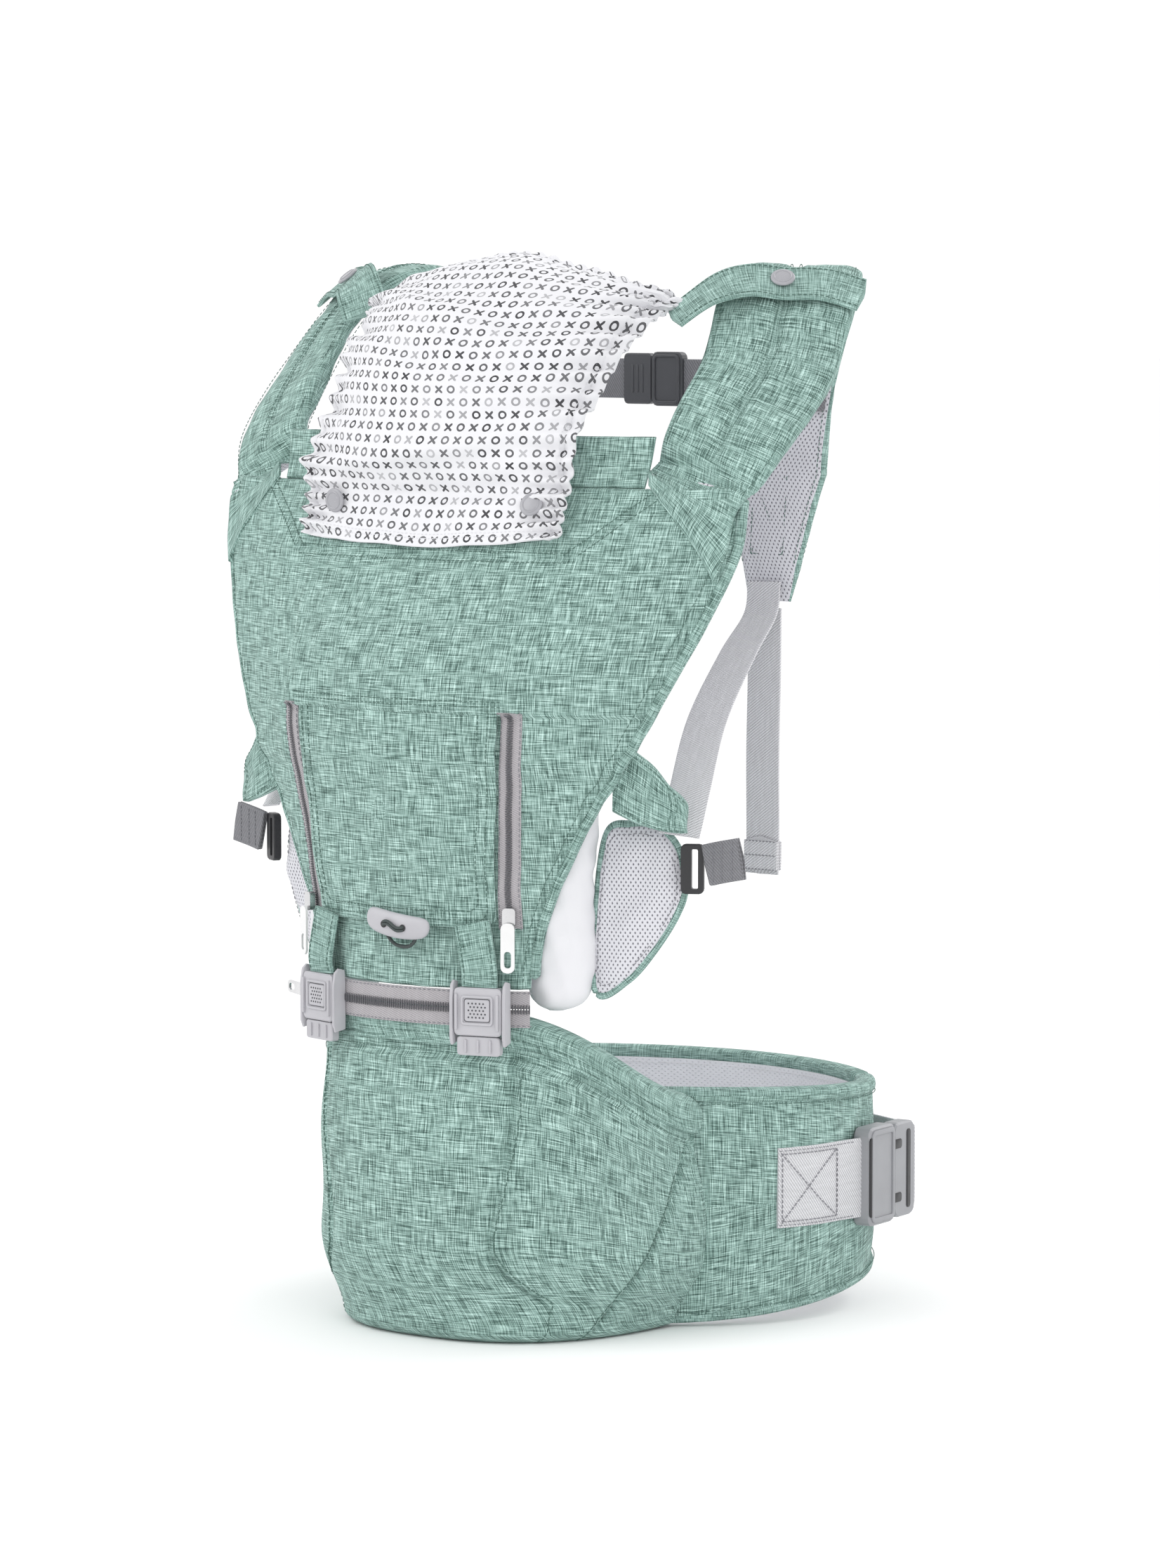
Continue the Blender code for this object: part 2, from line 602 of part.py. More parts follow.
def make_chest():
    out = Vector((0, -1, 0))
    socket = frame_at((CHEST_X + 0.0125, CHEST_Y + 0.0035, CHEST_Z), (1, 0, 0), out)
    plate("chest_socket", rounded_outline(0.024, 0.034, 0.004), 0.0070, socket, "plastic_dark", bevel=0.0008)
    plug = frame_at((CHEST_X - 0.0110, CHEST_Y + 0.0030, CHEST_Z), (1, 0, 0), out)
    plate("chest_plug", rounded_outline(0.0220, 0.032, 0.003), 0.0060, plug, "plastic_dark", bevel=0.0008)
    right = [(CHEST_X + 0.0250, CHEST_Y, CHEST_Z), (0.060, CHEST_Y, CHEST_Z), (0.0730, CHEST_Y, CHEST_Z)]
    left = [(CHEST_X - 0.0225, CHEST_Y, CHEST_Z), (-0.045, CHEST_Y, CHEST_Z), (-0.0730, CHEST_Y, CHEST_Z)]
    ribbon("chest_webbing_right", right, [(0, 0, 1)] * 3, WEB, 0.003, "webbing_dark", count=5)
    ribbon("chest_webbing_left", left, [(0, 0, 1)] * 3, WEB, 0.003, "webbing_dark", count=5)


# ---- waist buckle ------------------------------------------------------------------------------------------
WAIST_Z = 0.0840
WAIST_DIR = Vector((-0.12, 0.993, 0.0)).normalized()
WAIST_START = Vector((BELT_A + 0.0048, 0.0150, WAIST_Z))


def make_waist_closure():
    out = Vector((WAIST_DIR.y, -WAIST_DIR.x, 0.0))
    arc = [Vector((*belt_point(math.radians(a), -0.0022), WAIST_Z)) for a in (-26, -18, -9, 0)]
    ribbon("waist_webbing_right", arc + [WAIST_START], [(0, 0, 1)] * 5, WEB_WIDE, 0.0024, "webbing", count=10)
    socket = frame_at(WAIST_START + WAIST_DIR * 0.0175 - out * 0.0050, WAIST_DIR, out)
    plate("waist_socket", rounded_outline(0.0340, 0.0620, 0.0050), 0.0120, socket, "plastic_light", bevel=0.0012)
    plug = frame_at(WAIST_START + WAIST_DIR * 0.0480 - out * 0.0044, WAIST_DIR, out)
    plate("waist_plug", rounded_outline(0.0260, 0.0600, 0.0050), 0.0108, plug, "plastic_light", bevel=0.0012)
    end = WAIST_START + WAIST_DIR * 0.0615
    tail = [Vector((*belt_point(math.radians(a), -0.0030), WAIST_Z)) for a in (62, 85, 108, 131, 154)]
    bend = end + WAIST_DIR * 0.012 + Vector((-0.004, 0.0, 0.0))
    ribbon("waist_webbing_left", [end, bend] + tail, [(0, 0, 1)] * 7, WEB_WIDE, 0.0024, "webbing", count=22)


# ---- hood -----------------------------------------------------------------------------------------------------
HOOD_ROWS = [(0.4890, -0.2235, 0.101, 1.3), (0.5130, -0.2125, 0.102, 0.9), (0.5480, -0.2180, 0.103, 2.4),
             (0.5880, -0.2130, 0.107, 4.2), (0.6280, -0.1870, 0.114, 4.4), (0.6500, -0.1490, 0.120, 2.4),
             (0.6550, -0.1140, 0.122, 0.6)]


def hood_point(row, share):
    """A hood point: row 0 is the lower hem and 1 the upper edge, share runs from side to side."""
    line = spline([(z, y, half) for z, y, half, _ in HOOD_ROWS], 13)
    z, y, half = line[row]
    bows = spline([(bow, 0, 0) for _, _, _, bow in HOOD_ROWS], 13)
    x = half * share
    drop = 0.030 * smooth_step((row - 6) / 6) * share * share
    sag = -0.006 * (1 - share * share) if row == 0 else 0.0
    return Vector((x, y + bows[row].x * x * x, z - drop + sag))


def make_hood():
    grid = [[hood_point(row, -1 + 2 * j / 12) for j in range(13)] for row in range(13)]
    inward = Vector((0.0, -0.10, 0.4880))

    def shift(p):
        return (inward - p).normalized() * 0.004
    slab("hood", grid, shift, "cotton", origin=(0, -0.2245, 0.4830))
    for side, tag in ((1, "right"), (-1, "left")):
        x, height = side * 0.0760, 0.5070
        y = -0.2165 + 1.0 * x * x
        outward = Vector((2.0 * x, -1.0, 0.0)).normalized()
        place = frame_at(Vector((x, y, height)) + outward * 0.0018, (1, 0, 0), outward)
        disc("hood_snap_" + tag, place, 0.0075, 0.0028, "plastic_light")
        path = mirrored([(0.1270, -0.1230, 0.6300), (0.1400, -0.1080, 0.6375), (0.1560, -0.0930, 0.6430),
                         (0.1721, -0.0785, 0.6412), (0.1900, -0.0645, 0.6405), (0.2100, -0.0505, 0.6340)], side)
        ribbon("hood_tab_" + tag, path, [(-0.30 * side, 0.735, 0.606)] * 6, 0.030, 0.0020, "linen", count=12)
        top = frame_at((side * 0.1728, -0.0827, 0.6462), (0.8, 0.6 * side, 0), (side * 0.364, -0.485, 0.768))
        disc("tab_snap_" + tag, top, 0.0075, 0.0026, "plastic_light")


def main():
    clear_scene()
    make_belt()
    make_seat()
    make_seat_zip()
    make_panel()
    make_toggle()
    for side, tag in ((1, "right"), (-1, "left")):
        make_front_buckle(side, tag)
        make_side_zip(side, tag)
        make_wing(side, tag)
        make_leg_flap(side, tag)
        make_leg_pad(side, tag)
        make_wing_fittings(side, tag)
        make_strap(side, tag)
    make_chest()
    make_waist_closure()
    make_hood()
    for obj in bpy.data.objects:
        obj.location.y += BELT_TO_SEAT


main()
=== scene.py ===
import math
import bpy
import numpy as np
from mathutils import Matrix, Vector


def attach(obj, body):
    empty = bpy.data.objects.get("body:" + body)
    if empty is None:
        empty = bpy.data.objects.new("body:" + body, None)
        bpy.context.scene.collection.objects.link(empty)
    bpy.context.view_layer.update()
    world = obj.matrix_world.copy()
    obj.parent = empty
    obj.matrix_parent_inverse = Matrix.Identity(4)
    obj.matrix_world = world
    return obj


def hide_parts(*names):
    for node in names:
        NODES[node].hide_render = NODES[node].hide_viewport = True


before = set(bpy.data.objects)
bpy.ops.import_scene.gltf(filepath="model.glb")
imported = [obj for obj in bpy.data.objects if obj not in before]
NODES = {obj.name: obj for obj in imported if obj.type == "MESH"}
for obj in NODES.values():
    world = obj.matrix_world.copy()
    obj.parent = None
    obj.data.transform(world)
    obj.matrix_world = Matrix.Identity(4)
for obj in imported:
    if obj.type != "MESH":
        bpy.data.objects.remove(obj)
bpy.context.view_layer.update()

SHIFT = np.array((0.0, 0.165, 0.0))   # shapes are drawn about the belt's middle, then moved onto the seat's
SIDES = ((1, "right"), (-1, "left"))


# ---- arrays and curves ---------------------------------------------------------------------------
def vec(*values):
    """An array of decimals."""
    return np.array(values, float)


def unit(a):
    """Each vector made one long."""
    return a / np.maximum(np.linalg.norm(a, axis=-1, keepdims=True), 1e-12)


def smooth(x):
    """0 to 1 with no kink at either end."""
    x = np.clip(x, 0.0, 1.0)
    return x * x * (3.0 - 2.0 * x)


def curve(points, count):
    """count points along a Catmull-Rom curve, evenly spaced over its spans."""
    knots = np.array(points, float)
    knots = np.vstack([2 * knots[0] - knots[1], knots, 2 * knots[-1] - knots[-2]])
    place = np.linspace(0, len(knots) - 3, count)
    k = np.minimum(place.astype(int), len(knots) - 4)
    t = (place - k)[:, None]
    a, b, c, d = knots[k], knots[k + 1], knots[k + 2], knots[k + 3]
    return 0.5 * (2 * b + (c - a) * t + (2 * a - 5 * b + 4 * c - d) * t ** 2 + (3 * b - a - 3 * c + d) * t ** 3)


def ease(x, xs, ys):
    """A smooth curve through the points (xs, ys), read at x."""
    line = curve(np.stack([xs, ys, np.zeros(len(xs))], 1), 400)
    return np.interp(x, line[:, 0], line[:, 1])


def ripple(p, pitch, seed, count=8):
    """Smooth random waves of about that pitch, near -1 to 1."""
    rng = np.random.default_rng(seed)
    total = 0.0
    for _ in range(count):
        way = unit(rng.normal(size=3))
        total = total + np.sin(p @ way * 2 * math.pi / (pitch * rng.uniform(0.7, 1.6)) + rng.uniform(0, 6.28))
    return total / math.sqrt(count)


def resample(points, pitch):
    """Points evenly spaced along a path."""
    points = np.asarray(points, float)
    steps = np.linalg.norm(np.diff(points, axis=0), axis=1)
    run = np.concatenate([[0], np.cumsum(steps)])
    at = np.linspace(0, run[-1], max(2, int(round(run[-1] / pitch)) + 1))
    return np.stack([np.interp(at, run, points[:, k]) for k in range(3)], 1)


# ---- materials -----------------------------------------------------------------------------------
class Look:
    """A material under construction, with short names for its nodes."""

    def __init__(self, name, roughness=0.9, coords="UV"):
        self.mat = bpy.data.materials.new(name)
        self.mat.use_nodes = True
        self.tree = self.mat.node_tree
        self.shader = self.tree.nodes["Principled BSDF"]
        self.shader.inputs["Roughness"].default_value = roughness
        self.place = self.add("ShaderNodeTexCoord").outputs[coords]
        parts = self.add("ShaderNodeSeparateXYZ", self.place)
        self.u, self.v, self.w = parts.outputs

    def add(self, kind, *feeds, **settings):
        node = self.tree.nodes.new(kind)
        for key, value in settings.items():
            setattr(node, key, value)
        for socket, feed in zip(node.inputs, feeds):
            self.feed(socket, feed)
        return node

    def feed(self, socket, value):
        if value is None:
            return
        if hasattr(value, "is_linked"):
            self.tree.links.new(value, socket)
        else:
            socket.default_value = value

    def do(self, operation, a, b=None, c=None):
        return self.add("ShaderNodeMath", a, b, c, operation=operation).outputs[0]

    def at(self, x, y, z=0.0):
        return self.add("ShaderNodeCombineXYZ", x, y, z).outputs[0]

    def noise(self, place, scale, detail=2.0, rough=0.55):
        node = self.add("ShaderNodeTexNoise")
        self.feed(node.inputs["Vector"], place)
        node.inputs["Scale"].default_value = scale
        node.inputs["Detail"].default_value = detail
        node.inputs["Roughness"].default_value = rough
        return node.outputs[0]

    def ramp(self, factor, stops):
        node = self.add("ShaderNodeValToRGB", factor)
        line = node.color_ramp
        while len(line.elements) < len(stops):
            line.elements.new(0.5)
        for element, (place, tone) in zip(line.elements, stops):
            element.position = place
            element.color = (*tone, 1.0) if isinstance(tone, tuple) else (tone, tone, tone, 1.0)
        return node.outputs[0]

    def mix(self, factor, a, b, kind="MIX"):
        node = self.add("ShaderNodeMix", data_type="RGBA", blend_type=kind)
        self.feed(node.inputs[0], factor)
        for socket, value in ((node.inputs[6], a), (node.inputs[7], b)):
            self.feed(socket, (*value, 1.0) if isinstance(value, tuple) else value)
        return node.outputs[2]

    def finish(self, colour, height=None, depth=0.0003, strength=0.6, rough=None, sheen=0.0):
        self.feed(self.shader.inputs["Base Color"], (*colour, 1.0) if isinstance(colour, tuple) else colour)
        if height is not None:
            bump = self.add("ShaderNodeBump")
            bump.inputs["Strength"].default_value = strength
            bump.inputs["Distance"].default_value = depth
            self.feed(bump.inputs["Height"], height)
            self.feed(self.shader.inputs["Normal"], bump.outputs[0])
        if rough is not None:
            self.feed(self.shader.inputs["Roughness"], rough)
        self.shader.inputs["Sheen Weight"].default_value = sheen
        self.shader.inputs["Sheen Roughness"].default_value = 0.6
        return self.mat


def srgb(r, g, b):
    """A display colour, 0 to 255, in linear light."""
    return tuple(((c / 255 + 0.055) / 1.055) ** 2.4 if c > 10 else c / 3294 for c in (r, g, b))


def weave_height(look, pitch):
    """Over-and-under threads of a plain weave, 0 to 1."""
    turn = 2 * math.pi / pitch
    across = look.do("SINE", look.do("MULTIPLY", look.u, turn))
    up = look.do("SINE", look.do("MULTIPLY", look.v, turn))
    return look.do("MULTIPLY_ADD", look.do("MULTIPLY", across, up), 0.5, 0.5)


def make_linen(name, tones, spread=1.0):
    """A slubby plain weave: light and dark threads run both ways, each of its own tone."""
    look = Look(name, 0.92)
    warp = look.noise(
        look.at(look.do("MULTIPLY", look.u, 2100.0), look.do("MULTIPLY", look.v, 90.0)), 1.0, 2.0, 0.6
    )
    weft = look.noise(
        look.at(look.do("MULTIPLY", look.u, 70.0), look.do("MULTIPLY", look.v, 2100.0), 7.0), 1.0, 2.0, 0.6
    )
    slub_up = look.noise(
        look.at(look.do("MULTIPLY", look.u, 1500.0), look.do("MULTIPLY", look.v, 60.0), 3.0), 1.0, 1.0, 0.5
    )
    slub_across = look.noise(
        look.at(look.do("MULTIPLY", look.u, 48.0), look.do("MULTIPLY", look.v, 1500.0), 11.0), 1.0, 1.0, 0.5
    )
    over = weave_height(look, 0.0011)
    thread = look.do(
        "MULTIPLY_ADD", look.do("ADD", warp, weft), 0.30,
        look.do("MULTIPLY", look.do("ADD", slub_up, slub_across), 0.20)
    )
    places = [0.5 + (p - 0.5) * spread for p in (0.395, 0.455, 0.50, 0.545, 0.605)]
    colour = look.ramp(thread, list(zip(places, tones)))
    cloud = look.noise(look.place, 14.0, 3.0)
    colour = look.mix(0.35, colour, look.ramp(cloud, [(0.3, 0.78), (0.7, 1.0)]), "MULTIPLY")
    height = look.do("MULTIPLY_ADD", over, 0.15, look.do("MULTIPLY", thread, 2.0))
    return look.finish(colour, height, 0.0004, 0.5, sheen=0.05)


def make_mesh_cloth(name, base, hole):
    """Knitted mesh with staggered small holes; the hole colour is painted shade seen through them."""
    look = Look(name, 0.85)
    holes = None
    for shift in (0.0, 0.5):
        u = look.do("SUBTRACT", look.do("FRACT", look.do("MULTIPLY_ADD", look.u, 330.0, shift)), 0.5)
        v = look.do("SUBTRACT", look.do("FRACT", look.do("MULTIPLY_ADD", look.v, 230.0, shift)), 0.5)
        far = look.do("SQRT", look.do("ADD", look.do("MULTIPLY", u, u), look.do("MULTIPLY", v, v)))
        holes = far if holes is None else look.do("MINIMUM", holes, far)
    net = look.ramp(holes, [(0.09, 0.0), (0.20, 1.0)])
    tone = look.noise(look.place, 40.0, 3.0)
    top = look.mix(tone, tuple(c * 0.9 for c in base), base)
    # The holes take the hole colour: painted shade where there is no cloth.
    return look.finish(look.mix(net, hole, top), net, 0.0006, 0.7, sheen=0.1)


def make_cotton(name, printed):
    """Thin white cotton; printed, it carries rows of grey crosses and rings."""
    look = Look(name, 0.95)
    colour = (0.71, 0.71, 0.735)
    if printed:
        pitch = 1 / 0.0088
        cu, cv = look.do("MULTIPLY", look.u, pitch), look.do("MULTIPLY", look.v, pitch)
        fu, fv = (look.do("SUBTRACT", look.do("FRACT", c), 0.5) for c in (cu, cv))
        iu, iv = look.do("FLOOR", cu), look.do("FLOOR", cv)
        odd = look.do("FLOORED_MODULO", look.do("ADD", iu, iv), 2.0)
        far = look.do("SQRT", look.do("ADD", look.do("MULTIPLY", fu, fu), look.do("MULTIPLY", fv, fv)))
        ring = look.do("LESS_THAN", look.do("ABSOLUTE", look.do("SUBTRACT", far, 0.25)), 0.075)
        bars = look.do(
            "MINIMUM", look.do("ABSOLUTE", look.do("SUBTRACT", fu, fv)),
            look.do("ABSOLUTE", look.do("ADD", fu, fv))
        )
        inside = look.do(
            "LESS_THAN", look.do("MAXIMUM", look.do("ABSOLUTE", fu), look.do("ABSOLUTE", fv)), 0.30
        )
        cross = look.do("MULTIPLY", look.do("LESS_THAN", bars, 0.12), inside)
        mark = look.do(
            "ADD", look.do("MULTIPLY", cross, odd), look.do("MULTIPLY", ring, look.do("SUBTRACT", 1.0, odd))
        )
        cell = look.add("ShaderNodeTexWhiteNoise", look.at(iu, iv), noise_dimensions="3D").outputs[0]
        ink = look.ramp(
            cell, [(0.0, (0.045, 0.045, 0.05)), (0.7, (0.16, 0.16, 0.17)), (1.0, (0.45, 0.45, 0.47))]
        )
        colour = look.mix(mark, colour, ink)
    fine = look.noise(look.place, 900.0, 2.0)
    height = look.do("ADD", look.do("MULTIPLY", weave_height(look, 0.0007), 0.5), fine)
    return look.finish(colour, height, 0.0002, 0.35, sheen=0.1)


def make_webbing(name, base, rib=0.0013, depth=0.0004):
    """Ribs run across the strap, with painted shade in the grooves between them; u is across it and v along it."""
    look = Look(name, 0.75)
    rows = look.do("SINE", look.do("MULTIPLY", look.v, 2 * math.pi / rib))
    slant = look.do(
        "SINE",
        look.do("MULTIPLY", look.do("ADD", look.u, look.do("MULTIPLY", look.v, 0.6)), 2 * math.pi / 0.0026)
    )
    height = look.do("MULTIPLY_ADD", look.do("MULTIPLY", rows, slant), 0.5, 0.5)
    tone = look.noise(look.at(look.do("MULTIPLY", look.u, 500.0), look.do("MULTIPLY", look.v, 60.0)), 1.0, 3.0)
    # Painted shade between the ribs: the colour falls to half the base where the ribs' height is low.
    colour = look.mix(look.ramp(height, [(0.2, 0.0), (0.8, 1.0)]), tuple(c * 0.5 for c in base), base)
    colour = look.mix(0.4, colour, look.ramp(tone, [(0.3, 0.7), (0.7, 1.0)]), "MULTIPLY")
    return look.finish(colour, height, depth, 0.6, sheen=0.05)


def make_plastic(name, base, roughness=0.42, grain=900.0):
    """Moulded plastic with a faint grain."""
    look = Look(name, roughness, "Object")
    tone = look.noise(look.place, 35.0, 4.0)
    fine = look.noise(look.place, grain, 3.0)
    colour = look.mix(tone, tuple(c * 0.86 for c in base), tuple(min(1, c * 1.08) for c in base))
    rough = look.do("MULTIPLY_ADD", look.noise(look.place, 120.0, 3.0), 0.22, roughness - 0.11)
    return look.finish(colour, fine, 0.00008, 0.5, rough=rough)


def make_metal(name, base, roughness=0.22):
    """Bare metal, worn a little."""
    look = Look(name, roughness, "Object")
    look.shader.inputs["Metallic"].default_value = 1.0
    wear = look.noise(look.place, 260.0, 4.0)
    rough = look.do("MULTIPLY_ADD", wear, 0.25, roughness - 0.1)
    colour = look.mix(look.noise(look.place, 60.0, 3.0), tuple(c * 0.8 for c in base), base)
    return look.finish(colour, wear, 0.00005, 0.4, rough=rough)


def make_thread(name, base):
    """Twisted thread or cord."""
    look = Look(name, 0.7, "Object")
    twist = look.noise(look.place, 2200.0, 1.0)
    colour = look.mix(twist, tuple(c * 0.7 for c in base), base)
    return look.finish(colour, twist, 0.0001, 0.5)


GREENS = [
    srgb(*tone) for tone in ((42, 68, 62), (84, 112, 105), (128, 158, 150), (162, 192, 185), (202, 231, 224))
]
LINEN = make_linen("green_linen", GREENS)
LINEN_BIAS = make_linen("green_linen_binding", GREENS, 1.25)
# The second colour of each mesh is the painted shade in its holes.
NETTING = make_mesh_cloth("grey_mesh", srgb(212, 212, 218), srgb(112, 112, 120))
LINING = make_mesh_cloth("grey_lining", srgb(226, 227, 232), srgb(212, 213, 219))
PRINT = make_cotton("white_printed_cotton", True)
COTTON = make_cotton("white_cotton", False)
WEBBING = make_webbing("light_webbing", srgb(232, 232, 236))
WEBBING_DARK = make_webbing("dark_webbing", srgb(138, 138, 143))
TAPE = make_webbing("zip_tape", srgb(188, 184, 188), 0.0009, 0.0002)
COIL = make_plastic("zip_coil", srgb(88, 88, 93), 0.35)
LIGHT_PLASTIC = make_plastic("light_plastic", srgb(178, 177, 182))
BUCKLE_PLASTIC = make_plastic("mid_plastic", srgb(150, 151, 155))
DARK_PLASTIC = make_plastic("dark_plastic", srgb(72, 73, 77))
BLACK_PLASTIC = make_plastic("black_plastic", srgb(38, 38, 41))
SNAP_PLASTIC = make_plastic("snap_plastic", srgb(158, 158, 163), 0.25)
METAL = make_metal("zip_metal", (0.72, 0.72, 0.73))
ENAMEL = make_plastic("pull_enamel", srgb(226, 226, 226), 0.2)
CORD = make_thread("elastic_cord", srgb(66, 74, 74))
GREEN_THREAD = make_thread("green_thread", srgb(86, 117, 108))
GREY_THREAD = make_thread("grey_thread", srgb(140, 140, 146))
WHITE_THREAD = make_thread("white_thread", srgb(232, 232, 236))


# ---- building pieces -----------------------------------------------------------------------------
def grid_faces(rows, columns, around):
    """The quads of a grid of points; around joins its last column to its first."""
    i, j = np.meshgrid(np.arange(rows - 1), np.arange(columns if around else columns - 1), indexing="ij")
    i, j = i.ravel(), j.ravel()
    n = (j + 1) % columns
    quads = np.stack([i * columns + j, i * columns + n, (i + 1) * columns + n, (i + 1) * columns + j], 1)
    places = np.stack([i, j, i, j + 1, i + 1, j + 1, i + 1, j], 1).reshape(-1, 4, 2)
    return quads, places


def piece(name, points, faces, loops, looks, body, covers=(), paint=None, crease=50):
    """One object from points, faces and each corner's uv, moved onto the frame and ridden on its body."""
    mesh = bpy.data.meshes.new(name)
    mesh.from_pydata((np.asarray(points) + SHIFT).tolist(), [], [list(map(int, f)) for f in faces])
    for look in looks:
        mesh.materials.append(look)
    layer = mesh.uv_layers.new(name="UVMap")
    flat = np.concatenate([np.asarray(c, float).reshape(-1) for c in loops]).astype(np.float32)
    layer.data.foreach_set("uv", flat)
    if paint is not None:
        mesh.polygons.foreach_set("material_index", np.asarray(paint, np.int32))
    mesh.update()
    mesh.calc_loop_triangles()
    corners = np.empty(len(mesh.loop_triangles) * 3, np.int32)
    mesh.loop_triangles.foreach_get("vertices", corners)
    corners = np.asarray(points, float)[corners].reshape(-1, 3, 3)
    centre = corners.mean(axis=(0, 1))
    corners = corners - centre
    volume = np.einsum("ij,ij->i", corners[:, 0], np.cross(corners[:, 1], corners[:, 2])).sum()
    if volume < 0:
        mesh.flip_normals()
    mesh.shade_smooth()
    mesh.set_sharp_from_angle(angle=math.radians(crease))
    obj = bpy.data.objects.new(name, mesh)
    bpy.context.scene.collection.objects.link(obj)
    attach(obj, body)
    if covers:
        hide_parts(*covers)
    return obj


def dress(look, *names):
    """Puts a look on the CAD solids that show as they are."""
    for name in names:
        NODES[name].data.materials[0] = look


def arc_uv(points, around=False):
    """Each grid point's place in metres: u along its row and v down its column."""
    full = np.concatenate([points, points[:, :1]], 1) if around else points
    du = np.linalg.norm(np.diff(full, axis=1), axis=2)
    u = np.concatenate([np.zeros((len(full), 1)), np.cumsum(du, axis=1)], 1)
    u = u - u[:, -1:] / 2
    dv = np.linalg.norm(np.diff(full, axis=0), axis=2).mean(axis=1)
    v = np.concatenate([[0], np.cumsum(dv)])
    return np.stack([u, np.repeat(v[:, None], full.shape[1], 1)], 2)


def normals_of(grid, facing):
    """The grid's normals, on the side that faces this way."""
    n = unit(np.cross(np.gradient(grid, axis=1), np.gradient(grid, axis=0)))
    return n if (n.reshape(-1, 3) @ np.asarray(facing, float)).sum() > 0 else -n


class Face:
    """A grid of surface points with its outward normals; reads between them."""

    def __init__(self, grid, facing):
        self.grid = grid
        self.normals = normals_of(grid, facing)

    def read(self, rows, columns):
        """rows and columns are shares from 0 to 1 of the grid."""
        rows, columns = np.broadcast_arrays(np.asarray(rows, float), np.asarray(columns, float))
        r = np.clip(rows, 0, 1) * (self.grid.shape[0] - 1)
        c = np.clip(columns, 0, 1) * (self.grid.shape[1] - 1)
        i, j = np.minimum(
            r.astype(int), self.grid.shape[0] - 2
        ), np.minimum(c.astype(int), self.grid.shape[1] - 2)
        s, t = (r - i)[..., None], (c - j)[..., None]
        out = []
        for g in (self.grid, self.normals):
            out.append(
                (1 - s) * ((1 - t) * g[i, j] + t * g[i, j + 1])
                + s * ((1 - t) * g[i + 1, j] + t * g[i + 1, j + 1])
            )
        return out[0], unit(out[1])


def shell(name, grid, thick, facing, looks, body, covers=(), rim=0.3, **more):
    """A sheet or thin pad: its outer face is the grid, its inner face lies thick behind it."""
    face = Face(grid, facing)
    rows, columns = grid.shape[:2]
    edge = np.zeros((rows, columns))
    edge[0], edge[-1], edge[:, 0], edge[:, -1] = 1, 1, 1, 1
    thick = np.broadcast_to(thick, (rows, columns))
    top = grid - face.normals * (edge * rim * thick)[..., None]
    back = grid - face.normals * (thick * (1 - edge * rim))[..., None]
    quads, places = grid_faces(rows, columns, False)
    uv = arc_uv(grid)
    loops = uv[places[..., 0], places[..., 1]]
    size = rows * columns
    ring = [(0, j) for j in range(columns)] + [(i, columns - 1) for i in range(1, rows)]
    ring += [(rows - 1, j) for j in range(columns - 2, -1, -1)] + [(i, 0) for i in range(rows - 2, 0, -1)]
    flat = np.array([i * columns + j for i, j in ring])
    after = np.roll(flat, -1)
    sides = np.stack([after, flat, flat + size, after + size], 1)
    spots = uv.reshape(-1, 2)
    side_uv = np.stack([spots[after], spots[flat], spots[flat] + 0.002, spots[after] + 0.002], 1)
    faces = np.vstack([quads, quads[:, ::-1] + size, sides])
    all_loops = np.concatenate([loops, loops[:, ::-1], side_uv])
    paint = np.concatenate([np.zeros(len(quads)), np.full(len(quads), min(1, len(looks) - 1)), np.zeros(len(sides))])
    points = np.vstack([top.reshape(-1, 3), back.reshape(-1, 3)])
    obj = piece(name, points, faces, list(all_loops), looks, body, covers, paint, **more)
    return obj, face


def loft(name, rings, looks, body, covers=(), caps=True, paint=None, **more):
    """A closed body through rings of equally many points."""
    rings = np.asarray(rings, float)
    rows, columns = rings.shape[:2]
    quads, places = grid_faces(rows, columns, True)
    uv = arc_uv(rings, True)
    faces, loops = [tuple(q) for q in quads], list(uv[places[..., 0], places[..., 1]])
    if caps:
        for row, order in ((0, range(columns - 1, -1, -1)), (rows - 1, range(columns))):
            faces.append(tuple(row * columns + j for j in order))
            loops.append(np.array([rings[row, j, :2] for j in order]))
    tones = None if paint is None else list(paint(places, rows, columns)) + [0] * (2 if caps else 0)
    return piece(name, rings.reshape(-1, 3), faces, loops, looks, body, covers, tones, **more)


def oval(width, thick, count=20, power=0.5):
    """A rounded section; a low power makes it squarer."""
    a = np.arange(count) * 2 * math.pi / count
    c, s = np.cos(a), np.sin(a)
    return np.stack(
        [width / 2 * np.sign(c) * np.abs(c) ** power, thick / 2 * np.sign(s) * np.abs(s) ** power], 1
    )


def frames(path, side):
    """Directions along a path, across it, and out of it."""
    along = unit(np.gradient(path, axis=0))
    side = unit(side - (side * along).sum(1, keepdims=True) * along)
    return along, side, np.cross(along, side)


def sweep(name, path, side, section, looks, body, covers=(), ends=0.0, **more):
    """A section, or one for each point, carried along a path. ends rounds the two ends over that length."""
    path = np.asarray(path, float)
    side = np.broadcast_to(np.asarray(side, float), path.shape)
    _, side, out = frames(path, side)
    section = np.broadcast_to(section, (len(path),) + np.shape(section)[-2:])
    scale = np.ones(len(path))
    if ends:
        run = np.concatenate([[0], np.cumsum(np.linalg.norm(np.diff(path, axis=0), axis=1))])
        near = np.minimum(run, run[-1] - run)
        scale = np.sqrt(np.clip(1 - (1 - np.clip(near / ends, 0, 1)) ** 2, 0.02, 1))
    rings = path[:, None] + (
        side[:, None] * section[..., 0:1] + out[:, None] * section[..., 1:2]
    ) * scale[:, None, None]
    return loft(name, rings, looks, body, covers, **more)


